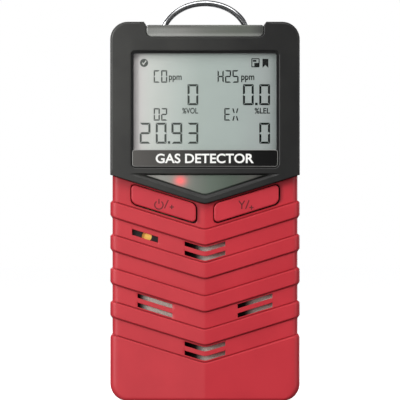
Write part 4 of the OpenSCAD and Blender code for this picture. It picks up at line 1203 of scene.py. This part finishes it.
# ---------------------------------------------------------------- back
def make_rear():
    """Outline with round corners. Its back edge is rolled by a radius that changes from the sides
    to the top and the foot. Screw wells, grooves and the charging recess are cut into it."""
    loop = fine(round_rect(rear_lo[0], rear_hi[0], rear_lo[2], rear_hi[2], CORNER, 10), 2.0)
    r = 3.0 + 1.5 * np.clip(np.abs(mitre(loop)[:, 0]), 0, 1)
    land = r + 0.3
    steps = [(WALL, BACK - WALL), (WALL, rear_lo[1]), (0, rear_lo[1])]
    steps += [(r * (1 - math.cos(a)), BACK - r * (1 - math.sin(a))) for a in np.linspace(0, math.pi / 2, 9)]
    shell = Shell().rings(loop, steps + [(land, BACK)])
    shell.sheet(inset(loop, land), depth=BACK, step=3).sheet(inset(loop, WALL), depth=BACK - WALL, step=6)
    rear = piece("back_shell", shell, finishes["back_black"], replaces=["rear_cover"])
    bosses, wells, bores = [], [], []
    for z in SCREW_Z:
        for x in (-SCREW_X, SCREW_X):
            boss = np.clip(disc_outline(x, z, 3.4), (-30.2, 0), (30.2, TOP))
            bosses.append((boss, rear_lo[1] + 0.01, BACK - 1.5))
            wells.append((disc_outline(x, z, 2.6), rear_lo[1] + 4, BACK + 1))
            bores.append((disc_outline(x, z, 1.35, 24), rear_lo[1] - 1, rear_lo[1] + 5))
    # recess of the charging contacts, and their seats
    wells.append((round_rect(-11, 11, 12, 20, 2), BACK - 0.8, BACK + 1))
    bores += [(disc_outline(x, 16, 1.65, 32), BACK - 2.5, BACK - 0.4) for x in (-7, 0, 7)]
    across = np.linspace(-18, 18, 25)
    for w in 26 + 6.0 * np.arange(5):
        lower = np.column_stack([across, chevron(across, w)])
        upper = np.column_stack([across, chevron(across, w + 1.6)])
        wells.append((np.concatenate([lower, upper[::-1]]), BACK - 0.6, BACK + 1))
    carve(rear, bosses, "UNION")
    carve(rear, wells, "DIFFERENCE")
    carve(rear, bores, "DIFFERENCE")
    rear.data.set_sharp_from_angle(angle=math.radians(32))


def disc_outline(x, z, r, count=40):
    """Closed circle about a centre."""
    return arc(x, z, r, 0, 360, count)[:-1]


def carve(thing, prisms, operation):
    """Adds or cuts prisms, each an (x, z) outline between two depths, with one Boolean."""
    shell = Shell()
    for loop, y0, y1 in prisms:
        shell.plates([loop], y0, y1)
    tool = bpy.data.objects.new("prisms", solid_mesh("prisms", shell))
    bpy.context.scene.collection.objects.link(tool)
    step = thing.modifiers.new("carve", "BOOLEAN")
    step.operation, step.solver, step.object = operation, "EXACT", tool
    bpy.context.view_layer.update()
    done = bpy.data.meshes.new_from_object(thing.evaluated_get(bpy.context.evaluated_depsgraph_get()))
    thing.modifiers.clear()
    thing.data = done
    bpy.data.objects.remove(tool)


def softened(name, node, slot, body="case", edge=0.15, angle=28):
    """Copy of one of the frame's metal or moulded parts: its triangles are merged and flat faces
    joined, and a bevel rolls its edges."""
    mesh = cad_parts[node].data.copy()
    mesh.name = name
    work = bmesh.new()
    work.from_mesh(mesh)
    bmesh.ops.remove_doubles(work, verts=work.verts, dist=1e-6)
    bmesh.ops.dissolve_limit(work, angle_limit=math.radians(1), verts=work.verts, edges=work.edges)
    work.to_mesh(mesh)
    work.free()
    mesh.shade_smooth()
    mesh.set_sharp_from_angle(angle=math.radians(angle))
    thing = place(bpy.data.objects.new(name, mesh), finishes[slot], body, [node])
    bevel = thing.modifiers.new("edges", "BEVEL")
    bevel.width, bevel.segments, bevel.limit_method = edge * MM, 2, "ANGLE"
    bevel.angle_limit, bevel.harden_normals, bevel.use_clamp_overlap = math.radians(angle), True, True
    return thing


make_head()
make_alarm_lens()
make_status_lens()
make_window()
make_name_plate()
make_display()
make_cover()
make_key(-1, "power_cap", "power_button", "power_key")
make_key(1, "menu_cap", "menu_button", "menu_key")
make_signs()
make_ring()
make_rear()
softened("clip_plate", "clip_base", "clip_steel")
softened("clip_arm", "clip_lever", "clip_steel", "clip", edge=0.2)
softened("clip_axle", "clip_pin", "clip_steel")
softened("socket_screws", "case_screws", "screw_steel")
softened("plate_screws", "clip_screws", "screw_steel", edge=0.08)
softened("contact_pads", "charge_contacts", "contact_gold")
softened("sounder_body", "sounder_case", "sounder_black")

# nodes that keep their shape, by finish
node_finishes = {
    "seal_rubber": ["case_seal", "upper_gasket", "right_gasket", "lower_gasket", "left_gasket"],
    "screw_steel": ["board_screws"],
    "frame_white": ["lcd_frame"], "light_guide": ["lcd_backlight"], "elastomer": ["lcd_connector"],
    "lamp_white": ["alarm_leds"], "lamp_red": ["status_led"],
    "board_green": ["main_board", "sensor_board"], "chip_black": ["board_components"],
    "connector_cream": ["board_connector"], "flex_amber": ["flex_cable"],
    "switch_black": ["power_switch", "menu_switch", "motor_cradle"],
    "plunger_cream": ["power_plunger", "menu_plunger"],
    "carrier_grey": ["sensor_carrier"], "sensor_white": ["co_sensor"], "sensor_cream": ["h2s_sensor"],
    "sensor_blue": ["oxygen_sensor"], "sensor_metal": ["combustible_sensor"],
    "filter_pale": ["upper_filter", "lower_filter"], "filter_left": ["left_filter"],
    "filter_right": ["right_filter"], "sounder_brass": ["sounder_diaphragm"],
    "motor_steel": ["vibration_motor", "motor_shaft"], "weight_brass": ["motor_weight"],
    "battery_blue": ["battery_pack"], "foam_grey": ["battery_pad"], "spring_steel": ["clip_spring"],
}
for finish, nodes in node_finishes.items():
    for node in nodes:
        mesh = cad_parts[node].data
        mesh.materials.clear()
        mesh.materials.append(finishes[finish])


# ---------------------------------------------------------------- studio
floor_mesh = bpy.data.meshes.new("floor")
floor_mesh.from_pydata([(-6, -6, 0), (6, -6, 0), (6, 6, 0), (-6, 6, 0)], [], [(0, 1, 2, 3)])
floor = bpy.data.objects.new("floor", floor_mesh)
bpy.context.scene.collection.objects.link(floor)
ground = Finish("floor_pale", Specular_IOR_Level=0.2)
floor_mesh.materials.append(ground.wear(Base_Color=(0.86, 0.86, 0.86, 1), Roughness=0.7,
                                        Emission_Color=(1, 1, 1, 1), Emission_Strength=0.80))
floor.visible_diffuse = floor.visible_glossy = False

world = bpy.data.worlds.new("studio")
bpy.context.scene.world = world
world.use_nodes = True
sky = world.node_tree
back = sky.nodes["Background"]
path = sky.nodes.new("ShaderNodeLightPath")
shade = None
for kind, level_of in (("Is Glossy Ray", (0.10, 0.10, 0.103, 1)), ("Is Camera Ray", (1, 1, 1, 1))):
    seen = sky.nodes.new("ShaderNodeMix")
    seen.data_type = "RGBA"
    seen.inputs[6].default_value = (0.24, 0.24, 0.245, 1)
    seen.inputs[7].default_value = level_of
    sky.links.new(path.outputs[kind], seen.inputs[0])
    if shade:
        sky.links.new(shade, seen.inputs[6])
    shade = seen.outputs[2]
sky.links.new(shade, back.inputs["Color"])
back.inputs["Strength"].default_value = 1.0


def softbox(name, at, target, size, power, height=None):
    """Area light at a place in metres, turned to a target."""
    light = bpy.data.lights.new(name, "AREA")
    light.shape, light.size, light.size_y, light.energy = "RECTANGLE", size, height or size, power
    thing = bpy.data.objects.new(name, light)
    thing.location = at
    thing.rotation_euler = (Vector(target) - Vector(at)).to_track_quat("-Z", "Y").to_euler()
    thing.visible_camera = False
    bpy.context.scene.collection.objects.link(thing)


middle = (0, 0, 0.07)
softbox("key_light", (-1.00, -1.00, 0.52), middle, 0.30, 8.8)
softbox("side_light", (-1.20, -0.85, 0.12), middle, 0.30, 5.4)
softbox("sheen_light", (-0.62, -1.35, 0.22), middle, 0.34, 3.2)
softbox("fill_light", (1.15, -0.85, 0.30), middle, 0.6, 3.6)
softbox("top_light", (0.0, -0.62, 0.95), (0, 0, 0.08), 1.2, 7.0, 0.6)
softbox("rear_light_left", (-0.55, 1.3, 0.6), middle, 0.9, 7)
softbox("rear_light_right", (0.8, 1.1, 0.25), middle, 0.6, 5)

distance, view_width, sensor_width = 3.0, 0.1378, 36
camera_data = bpy.data.cameras.new("camera")
camera_data.lens = sensor_width * distance / view_width
camera_data.clip_end = 30
camera = bpy.data.objects.new("camera", camera_data)
camera.location = (-0.00172, -distance, 0.0689)
camera.rotation_euler = (math.radians(90), 0, 0)
bpy.context.scene.collection.objects.link(camera)
bpy.context.scene.camera = camera
bpy.context.scene.view_settings.view_transform = "Standard"
